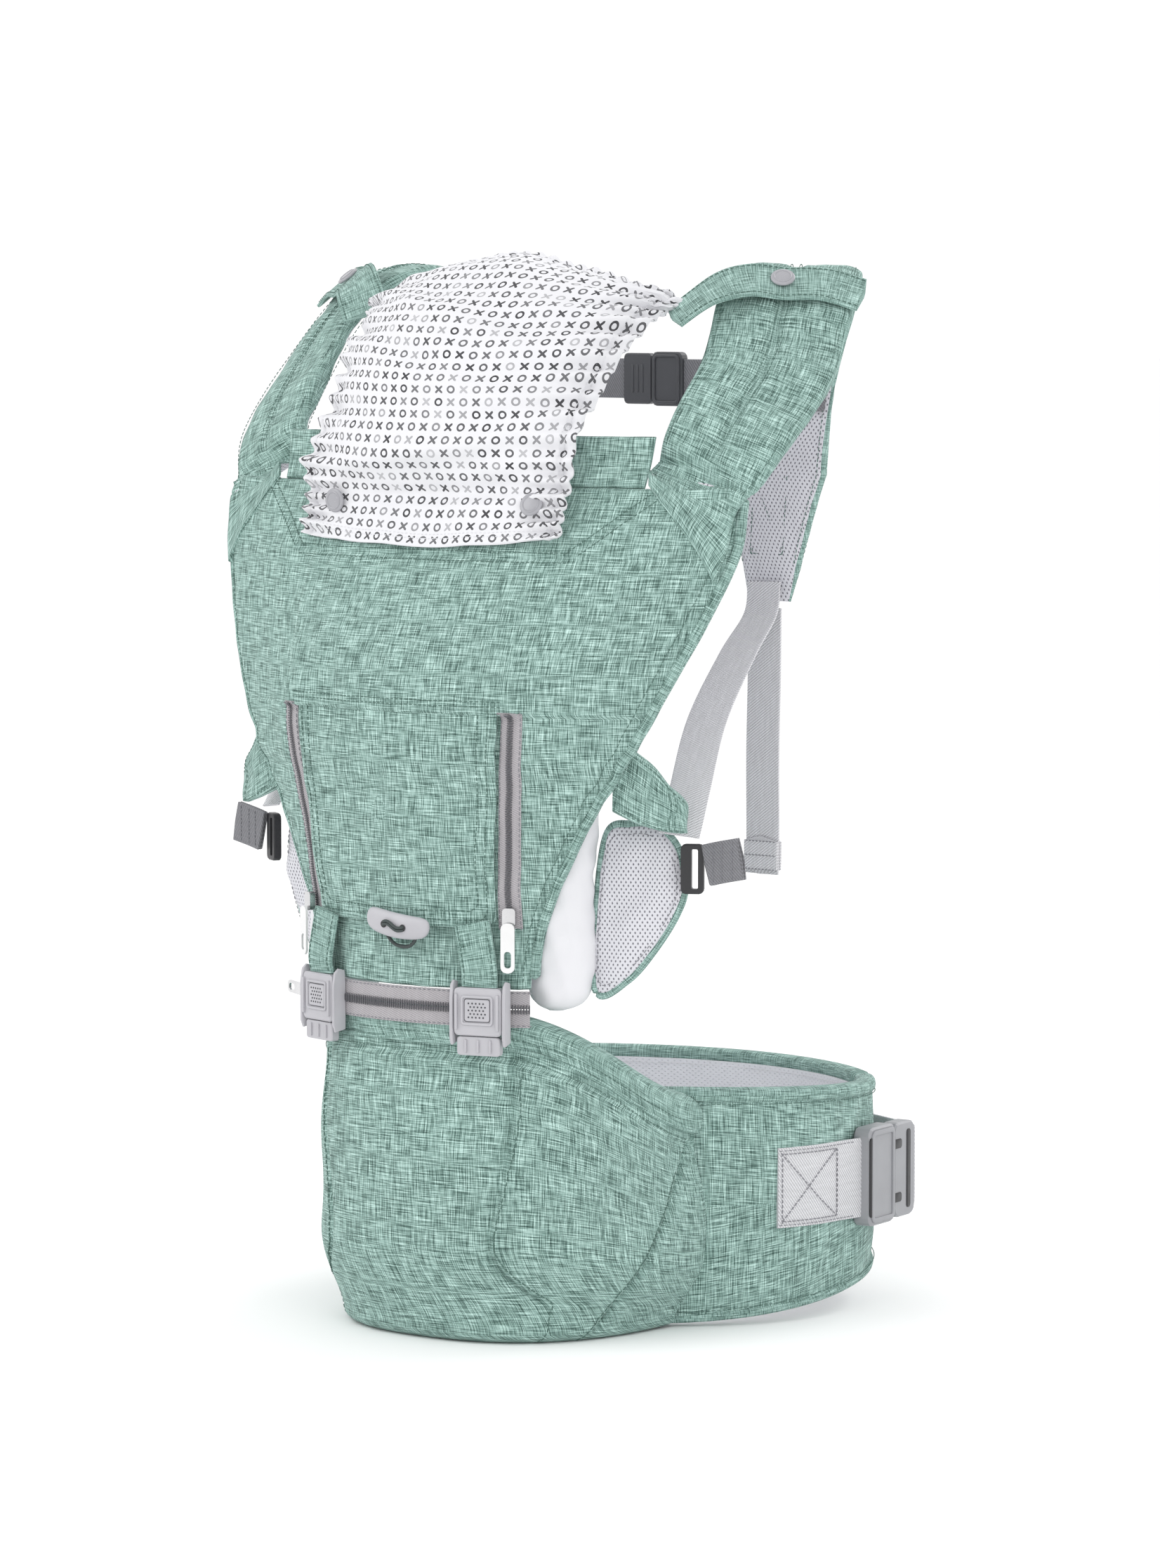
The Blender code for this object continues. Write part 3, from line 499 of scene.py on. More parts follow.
def tube(name, path, radius, look, body, covers=(), count=8, **more):
    """A round cord along a path."""
    path = np.asarray(path, float)
    along = unit(np.gradient(path, axis=0))
    helper = vec(0, 0, 1) if abs(along[:, 2]).mean() < 0.8 else vec(1, 0, 0)
    return sweep(
        name, path, helper, oval(2 * radius, 2 * radius, count, 1.0), [look], body, covers, ends=radius, **more
    )


SEWN = {}


def sew(body, look, path, normals, pitch=0.0034, length=0.0024, radius=0.00028):
    """Queues a row of stitches along a path on a surface."""
    path = np.asarray(path, float)
    normals = np.broadcast_to(np.asarray(normals, float), path.shape)
    spots = resample(path, pitch)
    share = np.linspace(0, 1, len(spots))
    facing = unit(np.stack([np.interp(share, np.linspace(0, 1, len(path)), normals[:, k]) for k in range(3)], 1))
    along = unit(np.gradient(spots, axis=0))
    SEWN.setdefault((body, look.name), []).append((spots, along, facing, length, radius))


def sew_on(face, body, look, rows, columns, lift=0.0, **more):
    """Queues stitches along a face, at these shares of it."""
    path, normal = face.read(rows, columns)
    sew(body, look, path + normal * lift, normal, **more)


def finish_sewing():
    """Makes one piece of all stitches of a body and a thread."""
    steps = ((-0.5, 0.45, -0.6), (-0.3, 1.0, 0.5), (0.3, 1.0, 0.5), (0.5, 0.45, -0.6))
    for (body, look), rows in SEWN.items():
        points, faces = [], []
        base = 0
        for spots, along, facing, length, radius in rows:
            side = np.cross(along, facing)
            n = len(spots)
            ring = []
            for place, swell, rise in steps:
                mid = spots + along * length * place + facing * radius * rise
                for k in range(5):
                    a = 2 * math.pi * k / 5
                    ring.append(mid + (side * math.cos(a) + facing * math.sin(a)) * radius * swell)
            points.append(np.stack(ring, 1).reshape(-1, 3))
            one = [
                (r * 5 + k, r * 5 + (k + 1) % 5, (r + 1) * 5 + (k + 1) % 5, (r + 1) * 5 + k) for r in range(3)
                for k in range(5)
            ]
            ends = [tuple(range(4, -1, -1)), tuple(range(15, 20))]
            for i in range(n):
                faces.extend(tuple(base + i * 20 + v for v in f) for f in one + ends)
            base += n * 20
        loops = [np.zeros((len(f), 2)) for f in faces]
        piece("stitches_%s_%s" % (body, look.split("_")[0]), np.vstack(points), faces, loops,
              [bpy.data.materials[look]], body)


def plate(name, outline, depth, place, looks, body, covers=(), bevel=0.0006, dome=0.0, **more):
    """An outline in the place's XY plane, raised to depth, with rounded rims."""
    centre, across, up, out = place
    outline = np.asarray(outline, float)
    reach = np.abs(outline).max()
    steps = [
        (0, bevel), (bevel * 0.3, bevel * 0.3), (bevel, 0), (depth - bevel, 0),
        (depth - bevel * 0.3, bevel * 0.3), (depth, bevel)
    ]
    steps += [(depth + dome * (1 - s * s), reach * (1 - s)) for s in (0.8, 0.55, 0.3, 0.08)] if dome else []
    rings = []
    for level, inset in steps:
        flat = outline * (1 - inset / reach)
        rings.append(centre + flat[:, :1] * across + flat[:, 1:] * up + level * out)
    return loft(name, rings, looks, body, covers, **more)


def place_at(centre, right, outward):
    """A place: its centre and its own three directions."""
    out = unit(np.asarray(outward, float))
    across = np.asarray(right, float)
    across = unit(across - (across @ out) * out)
    return np.asarray(centre, float), across, np.cross(out, across), out


def moved(place, x, y, z=0.0):
    """The place shifted along its own directions."""
    centre, across, up, out = place
    return centre + across * x + up * y + out * z, across, up, out


def laid(place, rings):
    """Rings of (x, y, z) carried from a place's own axes to the frame's."""
    centre, across, up, out = place
    return [centre + r[:, :1] * across + r[:, 1:2] * up + r[:, 2:] * out for r in rings]


def box_round(width, height, radius, steps=5):
    """A rectangle with rounded corners."""
    found = []
    for sx, sy, start in ((1, -1, -90), (1, 1, 0), (-1, 1, 90), (-1, -1, 180)):
        for i in range(steps + 1):
            a = math.radians(start + 90 * i / steps)
            found.append((
                sx * (width / 2 - radius) + radius * math.cos(a),
                sy * (height / 2 - radius) + radius * math.sin(a),
            ))
    return np.array(found)


# ---- waist belt ----------------------------------------------------------------------------------
BELT_A, BELT_B, BELT_THICK = 0.158, 0.133, 0.010   # half width, half depth and thickness
RIGHT_SPAN, LEFT_SPAN, LINING_SPAN = (-89.9, 40), (-90.3, -318), (38, -316)   # degrees round from +X


def belt_xy(angle, inset):
    """A point of the belt's oval, this far inside its outer face."""
    return (BELT_A - inset) * np.cos(angle), (BELT_B - inset) * np.sin(angle)


def belt_low(angle):
    return 0.001 + 0.023 * smooth((np.sin(angle) + 1) / 2)


def belt_top(angle):
    return 0.146 - 0.010 * smooth((np.sin(angle) + 1) / 2)


def belt_line(start, end, inset, height, count=120):
    """A path round the belt; height is a share from its low edge to its top."""
    angle = np.radians(np.linspace(start, end, count))
    x, y = belt_xy(angle, inset)
    path = np.stack([x, y, belt_low(angle) + (belt_top(angle) - belt_low(angle)) * height], 1)
    return path, np.stack([np.cos(angle) / BELT_A, np.sin(angle) / BELT_B, 0 * angle], 1)


def belt_half(tag, start, end):
    """One side of the padded belt, with its bound edges and its stitches."""
    angle = np.radians(np.linspace(start, end, 190))[:, None]
    a = (np.arange(56) * 2 * math.pi / 56)[None]
    side, rise = np.cos(a), np.sin(a)
    share = 0.5 + 0.5 * np.sign(rise) * np.abs(rise) ** 0.42
    puff = 1.0 + 0.22 * np.sin(math.pi * share)
    inset = BELT_THICK / 2 - BELT_THICK / 2 * puff * np.sign(side) * np.abs(side) ** 0.45
    x, y = belt_xy(angle, inset)
    z = belt_low(angle) + (belt_top(angle) - belt_low(angle)) * share
    rings = np.stack([x, y, z + 0 * x], 2)
    outward = np.stack([np.cos(angle) + 0 * x, np.sin(angle) + 0 * x, 0 * x], 2)
    wave = 0.0011 * ripple(rings, 0.055, 3) + 0.0005 * ripple(rings * vec(1, 1, 0.4), 0.016, 4)
    rings = rings + outward * wave[..., None] * np.maximum(0.25, side)[..., None]
    from_end = np.minimum(np.arange(190), np.arange(190)[::-1])
    ends = np.sqrt(np.clip(1 - (1 - np.minimum(1, from_end / 4.0)) ** 2, 0.1, 1))
    middle = rings.mean(axis=1, keepdims=True)
    thin = rings - middle
    rings = middle + thin * (0.75 + 0.25 * ends)[:, None, None]
    obj = loft("waist_belt_" + tag, rings, [LINEN], "hip_seat", ["belt_" + tag])
    edge, normal = belt_line(start, end, BELT_THICK / 2, 1.0)
    edge[:, 2] -= 0.0022
    sweep(
        "belt_binding_" + tag, edge, unit(normal), oval(0.0128, 0.0095, 16, 0.7), [LINEN_BIAS], "hip_seat",
        ends=0.004
    )
    row, normal = belt_line(start, end, -0.0009, 0.948)
    sew("hip_seat", GREEN_THREAD, row, unit(normal))
    low, normal = belt_line(start, end, BELT_THICK / 2, 0.0)
    low[:, 2] += 0.0022
    sweep(
        "belt_hem_" + tag, low, unit(normal), oval(0.0108, 0.006, 12, 0.7), [LINEN_BIAS], "hip_seat", ends=0.003
    )
    row, normal = belt_line(start, end, -0.0007, 0.045)
    sew("hip_seat", GREEN_THREAD, row, unit(normal))


def make_belt():
    """Both sides of the belt and the lining inside them."""
    belt_half("right", *RIGHT_SPAN)
    belt_half("left", *LEFT_SPAN)
    rows = []
    for share in np.linspace(0.03, 0.955, 26):
        path, _ = belt_line(*LINING_SPAN, BELT_THICK + 0.0006, share, 220)
        rows.append(path)
    grid = np.stack(rows)
    grid = grid * (1 + 0.004 * ripple(grid, 0.06, 9))[..., None] * vec(1, 1, 0) + grid * vec(0, 0, 1)
    angle = np.arctan2(grid[..., 1], grid[..., 0])
    inward = -np.stack([np.cos(angle), np.sin(angle), 0 * angle], 2)
    inner = grid + inward * 0.0024
    rings = np.transpose(np.concatenate([grid, inner[::-1]], 0), (1, 0, 2))
    obj = loft("belt_inner_lining", rings, [LINING], "hip_seat", ["belt_lining"])
    row, normal = belt_line(*LINING_SPAN, BELT_THICK + 0.0034, 0.93, 200)
    sew("hip_seat", WHITE_THREAD, row, -unit(normal))


# ---- hip seat ------------------------------------------------------------------------------------
SEAT_FRONT, SEAT_TOP, SEAT_REAR_TOP, SEAT_HALF = -0.240, 0.184, 0.120, 0.118


def seat_outline(height_share, inset, steps=90):
    """The seat's outline: a blunt front, and a hollow back that fits the belt."""
    tuck = 1.0 - 0.10 * (1.0 - smooth(height_share / 0.35)) - 0.015 * smooth((height_share - 0.6) / 0.4)
    half = SEAT_HALF * tuck - inset
    root = -(BELT_B + 0.002 + inset) * math.sqrt(1 - (half / (BELT_A + 0.002)) ** 2)
    depth = (root - SEAT_FRONT) - inset - (1.0 - tuck) * 0.12
    a = math.pi * np.arange(steps + 1) / steps
    front = np.stack(
        [half * np.sign(np.cos(a)) * np.abs(np.cos(a)) ** 0.8, root - depth * np.abs(np.sin(a)) ** 0.85], 1
    )
    x = half * (-1 + 2 * np.arange(1, steps) / steps)
    back = np.stack([x, -(BELT_B + 0.002 + inset) * np.sqrt(1 - (x / (BELT_A + 0.002)) ** 2)], 1)
    ring = np.vstack([front, back])
    count = 420
    closed = np.vstack([ring, ring[:1]])
    run = np.concatenate([[0], np.cumsum(np.linalg.norm(np.diff(closed, axis=0), axis=1))])
    at = np.arange(count) * run[-1] / count
    return np.stack([np.interp(at, run, closed[:, k]) for k in range(2)], 1)


def seat_rim(y):
    """The height of the seat's upper seam: it falls towards the belt."""
    return SEAT_TOP + (SEAT_REAR_TOP - SEAT_TOP) * smooth((y - SEAT_FRONT) / (-0.085 - SEAT_FRONT))


def outward_of(ring):
    """Level directions that point out of a closed ring."""
    along = unit(np.roll(ring, -1, 0) - np.roll(ring, 1, 0))
    out = np.stack([along[:, 1], -along[:, 0], 0 * along[:, 0]], 1)
    return out if ((ring - ring.mean(0)) * out).sum() > 0 else -out


def seat_bias(z):
    """How far the front's bias seam stands from the middle at each height."""
    return ease(
        z, np.array([0.0, .0197, .0555, .0957, .1387, .1900]),
        np.array([.0960, .0856, .0613, .0662, .0717, .0718])
    )


def seat_join(z):
    """Where the side seam lies at each height: it leans forward towards the floor."""
    return -0.1640 + 0.62 * (z - 0.0114)


def make_seat():
    """The firm seat: its cover with sewn seams, and its sloping top."""
    rings = []
    for share in np.concatenate([[0, 0.006, 0.015, 0.03], np.linspace(0.05, 1.0, 84)]):
        flat = seat_outline(share, 0.007 * (1 - min(1, share / 0.03)) ** 2)
        z = (seat_rim(flat[:, 1])) * share
        ring = np.stack([flat[:, 0], flat[:, 1], z], 1)
        out = outward_of(ring)
        swell = 0.0022 * math.sin(math.pi * min(1, share)) + 0.0012 * ripple(ring, 0.09, 21)
        pucker = 0.0007 * ripple(ring * vec(1, 1, 0.3), 0.018, 22) * math.exp(-((1 - share) / 0.09) ** 2)
        bias = np.abs(np.abs(ring[:, 0]) - seat_bias(ring[:, 2]))
        dent = -0.0036 * np.exp(-(bias / 0.0018) ** 2) * smooth((-0.196 - ring[:, 1]) / 0.01)
        join = np.abs(ring[:, 1] - seat_join(ring[:, 2]))
        dent = dent - 0.0036 * np.exp(-(join / 0.0018) ** 2) * smooth((np.abs(ring[:, 0]) - 0.085) / 0.01)
        hold = smooth(share / 0.06)
        rings.append(ring + out * ((swell + pucker + dent * (ring[:, 1] < -0.1)) * hold)[:, None])
    cover_rings = np.array(rings)
    cover = loft("hip_seat_cover", rings, [LINEN], "hip_seat", ["seat_cover", "seat_core"])
    profile = curve(
        [(0.0, 0.0020, 0), (0.0012, -0.0008, 0), (0.010, -0.0022, 0), (0.018, -0.0005, 0), (0.0235, 0.0045, 0), (0.0250, 0.0120, 0)],
        18
    )
    rings = []
    for rise, inset, _ in profile:
        flat = seat_outline(1.0, inset)
        ring = np.stack([flat[:, 0], flat[:, 1], seat_rim(flat[:, 1]) + rise], 1)
        out = outward_of(ring)
        rings.append(ring + out * (0.0008 * ripple(ring * vec(1, 1, 0.5), 0.03, 24))[:, None])
    middle = vec(0, -0.165)
    last = seat_outline(1.0, profile[-1][1])
    for share in (0.93, 0.84, 0.72, 0.58, 0.42, 0.26, 0.12, 0.02):
        flat = middle + (last - middle) * share
        z = seat_rim(flat[:, 1]) + profile[-1][0] + 0.0035 * (1 - share ** 2)
        rings.append(np.stack([flat[:, 0], flat[:, 1], z], 1))
    top = loft("hip_seat_top", rings, [LINEN_BIAS], "hip_seat", ["seat_top"])
    for rise, inset in ((0.0065, -0.0024), (-0.0050, -0.0012)):
        flat = seat_outline(1.0, inset)
        row = np.stack([flat[:, 0], flat[:, 1], seat_rim(flat[:, 1]) + rise], 1)
        out = outward_of(row)
        keep = row[:, 1] < -0.105
        start = int(np.argmax(~keep))
        row, out, keep = np.roll(row, -start, 0), np.roll(out, -start, 0), np.roll(keep, -start)
        sew("hip_seat", GREEN_THREAD, row[keep], out[keep])
    for side in (-1, 1):
        for test, low, high in (
            (lambda r: np.where(r[:, 1] < -0.196, np.abs(r[:, 0] - side * (seat_bias(r[:, 2]) + 0.0042)), 1), 0.02, 0.95),
            (lambda r: np.where(r[:, 0] * side > 0.085, np.abs(r[:, 1] - seat_join(r[:, 2]) + 0.0044), 1), 0.02, 0.97)
        ):
            count = len(cover_rings)
            row = np.array([r[np.argmin(test(r))] for r in cover_rings[int(low * count):int(high * count)]])
            out = unit((row - vec(0, -0.12, 0)) * vec(1, 1, 0))
            row = resample(row, 0.002)
            sew("hip_seat", GREEN_THREAD, row, unit(out[:1] + 0 * row), pitch=0.0036, length=0.0030, radius=0.00045)
    flat = seat_outline(1.0, -0.0006)
    row = np.stack([flat[:, 0], flat[:, 1], seat_rim(flat[:, 1]) + 0.0008], 1)
    row = np.vstack([row, row[:2]])
    tube("seat_seam_welt", row, 0.0014, LINEN_BIAS, "hip_seat", count=6)


# ---- carrier panel -------------------------------------------------------------------------------
STATIONS = np.array([(.214, -.2420, 3.4, .083), (.252, -.2420, 3.3, .088), (.288, -.2450, 2.9, .102), (.329, -.2470, 2.4, .124),
                     (.367, -.2500, 2.1, .148), (.418, -.2450, 1.9, .172), (.478, -.2200, 1.3, .195), (.520, -.1970, .92, .197),
                     (.550, -.1890, .80, .143)])
NOTCH_Z = 0.520


def cad_y(x, z):
    mid, bow = (np.interp(z, STATIONS[:, 0], STATIONS[:, k]) for k in (1, 2))
    return mid + bow * x * x


def panel_y(x, z):
    """Where the panel's face lies: it bows across and leans with height."""
    mid, bow = (ease(z, STATIONS[:, 0], STATIONS[:, k]) for k in (1, 2))
    return mid + bow * x * x


def panel_half(z):
    """Half the panel's width; it stays as wide above the notch."""
    return ease(np.minimum(z, NOTCH_Z), STATIONS[:8, 0], STATIONS[:8, 3])


def flap_half(z):
    return 0.069 + 0.009 * smooth((z - 0.258) / 0.127)


def panel_dent(x, z):
    """Folds and sewn seams in the panel's face; positive stands out."""
    p = np.stack([x, 0 * x, z], -1)
    rise = 0.0013 * ripple(p, 0.085, 31) + 0.0005 * ripple(p, 0.024, 32)
    upper = smooth((z - 0.3830) / 0.0022) * smooth((flap_half(z) + 0.014 - np.abs(x)) / 0.004)
    rise = rise + 0.0048 * upper * (1 - 0.7 * smooth((z - 0.392) / 0.06))
    pull = np.exp(-((z - 0.345 - (np.abs(x) - 0.12) * 0.25) / 0.018) ** 2) * smooth((np.abs(x) - 0.075) / 0.05)
    rise = rise + 0.0016 * pull * np.sin((z - 0.35) * 2 * math.pi / 0.021)
    groove = np.abs(z - 0.4775 - 0.0009 * ripple(p, 0.05, 33))
    rise = rise - 0.0014 * np.exp(-(groove / 0.0016) ** 2) * (np.abs(x) < 0.103)
    slope = np.abs((np.abs(x) - 0.103) - (z - 0.4775) * 1.25) * 0.62
    return rise - 0.0014 * np.exp(-(slope / 0.0018) ** 2) * smooth((z - 0.476) / 0.004)


def panel_grid(low, high, rows, columns, off, half):
    z = np.linspace(low, high, rows + 1)[:, None] + np.zeros((1, columns + 1))
    x = half(z) * np.linspace(-1, 1, columns + 1)[None]
    return np.stack([x, panel_y(x, z) + off, z], 2)


def on_panel(x, z, off=0.0):
    x, z = np.broadcast_arrays(np.asarray(x, float), np.asarray(z, float))
    p = np.stack([x, panel_y(x, z) + off - panel_dent(x, z), z], -1)
    n = unit(np.stack([6.0 * x * 0.8, -np.ones_like(x), 0 * x], -1))
    return p, n


def make_panel():
    """The carrier's panel, head support, lining and centre flap."""
    grid = panel_grid(0.2180, 0.5195, 210, 190, 0.0, panel_half)
    grid[..., 1] -= panel_dent(grid[..., 0], grid[..., 2])
    edge = np.abs(np.linspace(-1, 1, 191))[None]
    grid[..., 1] += 0.004 * smooth((edge - 0.95) / 0.05)
    obj, face = shell("carrier_panel", grid, 0.005, (0, -1, 0), [LINEN, LINING], "carrier", ["front_panel"])
    for column in (0.0, 1.0):
        path, _ = face.read(np.linspace(0.02, 0.985, 120), column)
        path = path + vec(0, 0.0022, 0)
        tag = "right" if column else "left"
        sweep(
            "panel_binding_" + tag, path, vec(1, 0, 0), oval(0.0062, 0.0072, 14, 0.8), [LINEN_BIAS], "carrier",
            ends=0.003
        )
        sew_on(
            face, "carrier", GREEN_THREAD, np.linspace(0.02, 0.985, 120), 0.982 if column else 0.018,
            lift=0.0002
        )
    head = panel_grid(NOTCH_Z - 0.0002, 0.550, 26, 110, 0.0, lambda z: 0.140 + 0.1 * (z - NOTCH_Z))
    head[..., 1] -= panel_dent(head[..., 0], head[..., 2])
    obj, _ = shell("head_support", head, 0.005, (0, -1, 0), [LINEN, LINING], "carrier", ["head_rest"])
    lining = panel_grid(0.2240, 0.5140, 60, 60, 0.0066, lambda z: panel_half(z) - 0.012)
    lining[..., 1] += 0.0012 * ripple(lining, 0.06, 35)
    obj, _ = shell("panel_back_lining", lining, 0.0025, (0, -1, 0), [NETTING], "carrier", ["panel_lining"])
    flap = panel_grid(0.2555, 0.3865, 90, 100, -0.0038, flap_half)
    corner = np.hypot(
        np.maximum(0, np.abs(flap[..., 0]) - (flap_half(flap[..., 2]) - 0.012)),
        np.maximum(0, 0.2675 - flap[..., 2])
    )
    flap[..., 2] += np.maximum(0, corner - 0.012) * 0.8
    flap[..., 1] -= 0.0010 * ripple(flap, 0.06, 36) + 0.0004 * ripple(flap, 0.02, 37)
    obj, face = shell("front_flap", flap, 0.0024, (0, -1, 0), [LINEN], "carrier", ["centre_flap"])
    for inset in (0.035, 0.075):
        shape = [
            (1.0, inset), (inset + 0.03, inset), (inset, inset + 0.03), (inset, 1 - inset - 0.03),
            (inset + 0.03, 1 - inset), (1.0, 1 - inset)
        ]
        shape = resample([(a, b, 0) for a, b in shape], 0.01)
        sew_on(face, "carrier", GREEN_THREAD, shape[:, 0], shape[:, 1], lift=0.0002)
    for z, span in ((0.3895, 0.079), (0.3925, 0.079), (0.4805, 0.103), (0.4748, 0.103)):
        path, normal = on_panel(np.linspace(-span, span, 90), z, -0.0002)
        sew("carrier", GREEN_THREAD, path, normal)
    for side, _ in SIDES:
        z = np.linspace(0.480, 0.517, 30)
        for shift in (-0.0045, 0.0045):
            path, normal = on_panel(side * (0.103 + (z - 0.4775) * 1.25 + shift), z, -0.0002)
            sew("carrier", GREEN_THREAD, path, normal)


def coil(body, path, normals, width=0.0042, pitch=0.0015):
    """A zip's coil: a row of small loops across the path, with a cord down each side."""
    path, normals = np.asarray(path, float), np.asarray(normals, float)
    spots = resample(path, pitch)
    share = np.linspace(0, 1, len(spots))
    facing = unit(np.stack([np.interp(share, np.linspace(0, 1, len(path)), normals[:, k]) for k in range(3)], 1))
    across = np.cross(unit(np.gradient(spots, axis=0)), facing)
    SEWN.setdefault((body, COIL.name), []).append((spots + facing * 0.0006, across, facing, width, 0.00052))


def make_side_zip(side, tag):
    """The zip down one side of the centre flap."""
    z = np.linspace(0.2555, 0.3855, 70)
    rows = []
    for shift in np.linspace(-0.0068, 0.0068, 9):
        x = side * (flap_half(z) + 0.0072) + shift
        crown = 0.0012 + 0.0006 * (1 - (shift / 0.0068) ** 2)
        rows.append(np.stack([x, panel_y(x, z) - panel_dent(x, z) * 0.9 - crown, z], 1))
    grid = np.stack(rows, 1)
    obj, face = shell("side_zip_tape_" + tag, grid, 0.0012, (0, -1, 0), [TAPE], "carrier", ["side_zip_" + tag])
    path, normal = face.read(np.linspace(0, 1, 80), 0.5)
    coil("carrier", path, normal)
    for column in (0.06, 0.94):
        sew_on(face, "carrier", GREY_THREAD, np.linspace(0, 1, 80), column)
    dress(METAL, "side_slider_" + tag)
    dress(ENAMEL, "side_pull_" + tag)


def make_seat_zip():
    """The zip that joins the carrier to the seat."""
    radius, middle = 0.165, SEAT_FRONT - 0.001 + 0.165
    angle = np.radians(np.linspace(-31, 31, 120))

    def arc(out, z):
        r = radius + out
        return np.stack([r * np.sin(angle), middle - r * np.cos(angle), np.zeros(120) + z], 1)
    out = np.stack([np.sin(angle), -np.cos(angle), 0 * angle], 1)
    for name, low, high, body in (("lower", 0.1955, 0.2062, "hip_seat"), ("upper", 0.2068, 0.2175, "carrier")):
        grid = np.stack([arc(0.0015, z) for z in np.linspace(low, high, 8)], 0)
        obj, face = shell("seat_zip_tape_" + name, grid, 0.0013, (0, -1, 0), [TAPE], body, ["seat_zip_" + name])
        sew_on(face, body, GREY_THREAD, 0.1 if name == "lower" else 0.9, np.linspace(0, 1, 100))
    coil("hip_seat", arc(0.0018, 0.2065), out, 0.0058, 0.0017)
    dress(METAL, "seat_zip_slider", "seat_zip_pull")


# ---- front buckles -------------------------------------------------------------------------------
def buckle_place(side):
    x = side * 0.060
    outward = unit(vec(4.5 * x, -1.0, 0.0))
    return place_at(vec(x, cad_y(x, 0.2140), 0.2055) + outward * 0.0035, vec(1, 0, 0), outward)


def rounded_ring(width, height, radius, tall, wide, steps=6):
    """Rings of a picture-frame moulding: (x, y, z) about a place."""
    outer, inner = box_round(width, height, radius, steps), box_round(
        width - 2 * wide, height - 2 * wide, max(0.0004, radius - wide), steps
    )
    return np.array([np.column_stack([s, np.zeros(len(s)) + h]) for s, h in
                     ((outer, 0), (outer, tall * 0.7), ((outer * 0.8 + inner * 0.2), tall), ((outer * 0.2 + inner * 0.8), tall), (inner, tall * 0.7), (inner, 0), (outer, 0))])


def make_front_buckle(side, tag):
    """A side-release buckle over the seat zip, with the loop of cloth that holds it."""
    place = buckle_place(side)
    dress(LIGHT_PLASTIC, "front_buckle_" + tag, "front_button_" + tag, "front_plug_" + tag)
    rings = laid(moved(place, 0, 0.001, 0.0074), rounded_ring(0.0212, 0.0182, 0.0024, 0.0016, 0.0017))
    loft("button_frame_" + tag, rings, [LIGHT_PLASTIC], "carrier", caps=False)
    dots, faces, base = [], [], 0
    centre, across, up, out = moved(place, 0, 0.001, 0.0083)
    for i in range(5):
        for j in range(5):
            spot = centre + across * ((i - 2) * 0.0024 + (j % 2 - 0.5) * 0.0012) + up * (j - 2) * 0.0021
            for level, swell in ((0.0, 0.00062), (0.0004, 0.00054), (0.0006, 0.0002)):
                for k in range(8):
                    a = k * math.pi / 4
                    dots.append(spot + (across * math.cos(a) + up * math.sin(a)) * swell + out * level)
            faces += [
                tuple(base + r * 8 + q for q in (k, (k + 1) % 8))
                + tuple(base + (r + 1) * 8 + q for q in ((k + 1) % 8, k)) for r in range(2) for k in range(8)
            ]
            faces += [tuple(base + k for k in range(7, -1, -1)), tuple(base + 16 + k for k in range(8))]
            base += 24
    piece(
        "button_dots_" + tag, np.array(dots), faces, [np.zeros((len(f), 2)) for f in faces], [DARK_PLASTIC],
        "front_button_body_" + tag
    )
    # A thin dark ring inside the button's frame: painted shade of the groove round the button.
    rings = laid(moved(place, 0, 0.001, 0.0074), rounded_ring(0.0178, 0.0148, 0.0012, 0.0004, 0.0007))
    loft("button_groove_" + tag, rings, [DARK_PLASTIC], "carrier", caps=False)
    for edge in (-1, 1):
        plate(
            "buckle_rib_%s_%d" % (tag, edge), box_round(0.0016, 0.022, 0.0007, 3), 0.0018,
            moved(place, edge * 0.0135, 0.0, 0.0078), [LIGHT_PLASTIC], "carrier", bevel=0.0004
        )
    for edge in (-1, 0, 1):
        plate(
            "plug_rib_%s_%d" % (tag, edge), box_round(0.0014, 0.008, 0.0006, 3), 0.0012,
            moved(place, edge * 0.008, -0.0208, 0.0064), [LIGHT_PLASTIC], "hip_seat", bevel=0.0003
        )
    for edge in (-1, 1):
        wall = moved(place, edge * 0.0162, 0, 0.0035)[0]
        side_on = (wall, place[3], place[2], place[1] * edge)
        fin = [
            (-0.0042, -0.0190), (0.0030, -0.0205), (0.0046, -0.0160), (0.0046, 0.0080), (0.0034, 0.0160),
            (0.0006, 0.0185), (-0.0036, 0.0175), (-0.0042, 0.0100)
        ]
        plate("buckle_side_%s_%d" % (tag, edge), fin, 0.0020, side_on, [LIGHT_PLASTIC], "carrier", bevel=0.0005)
    high = 0.2585
    x_high = side * 0.057
    ends = [
        moved(place, 0, 0.0150, 0.0038)[0], moved(place, 0, 0.026, 0.0052)[0],
        vec(x_high, panel_y(x_high, high) - 0.0062, high)
    ]
    path = curve(ends, 30)
    sweep(
        "buckle_loop_" + tag, path, place[1], oval(0.0232, 0.0034, 20, 0.35), [LINEN_BIAS], "carrier",
        ["buckle_webbing_" + tag]
    )
    for shift in (-0.0095, 0.0095):
        sew("carrier", GREEN_THREAD, path[4:] + place[1] * shift + place[3] * 0.0018, place[3])


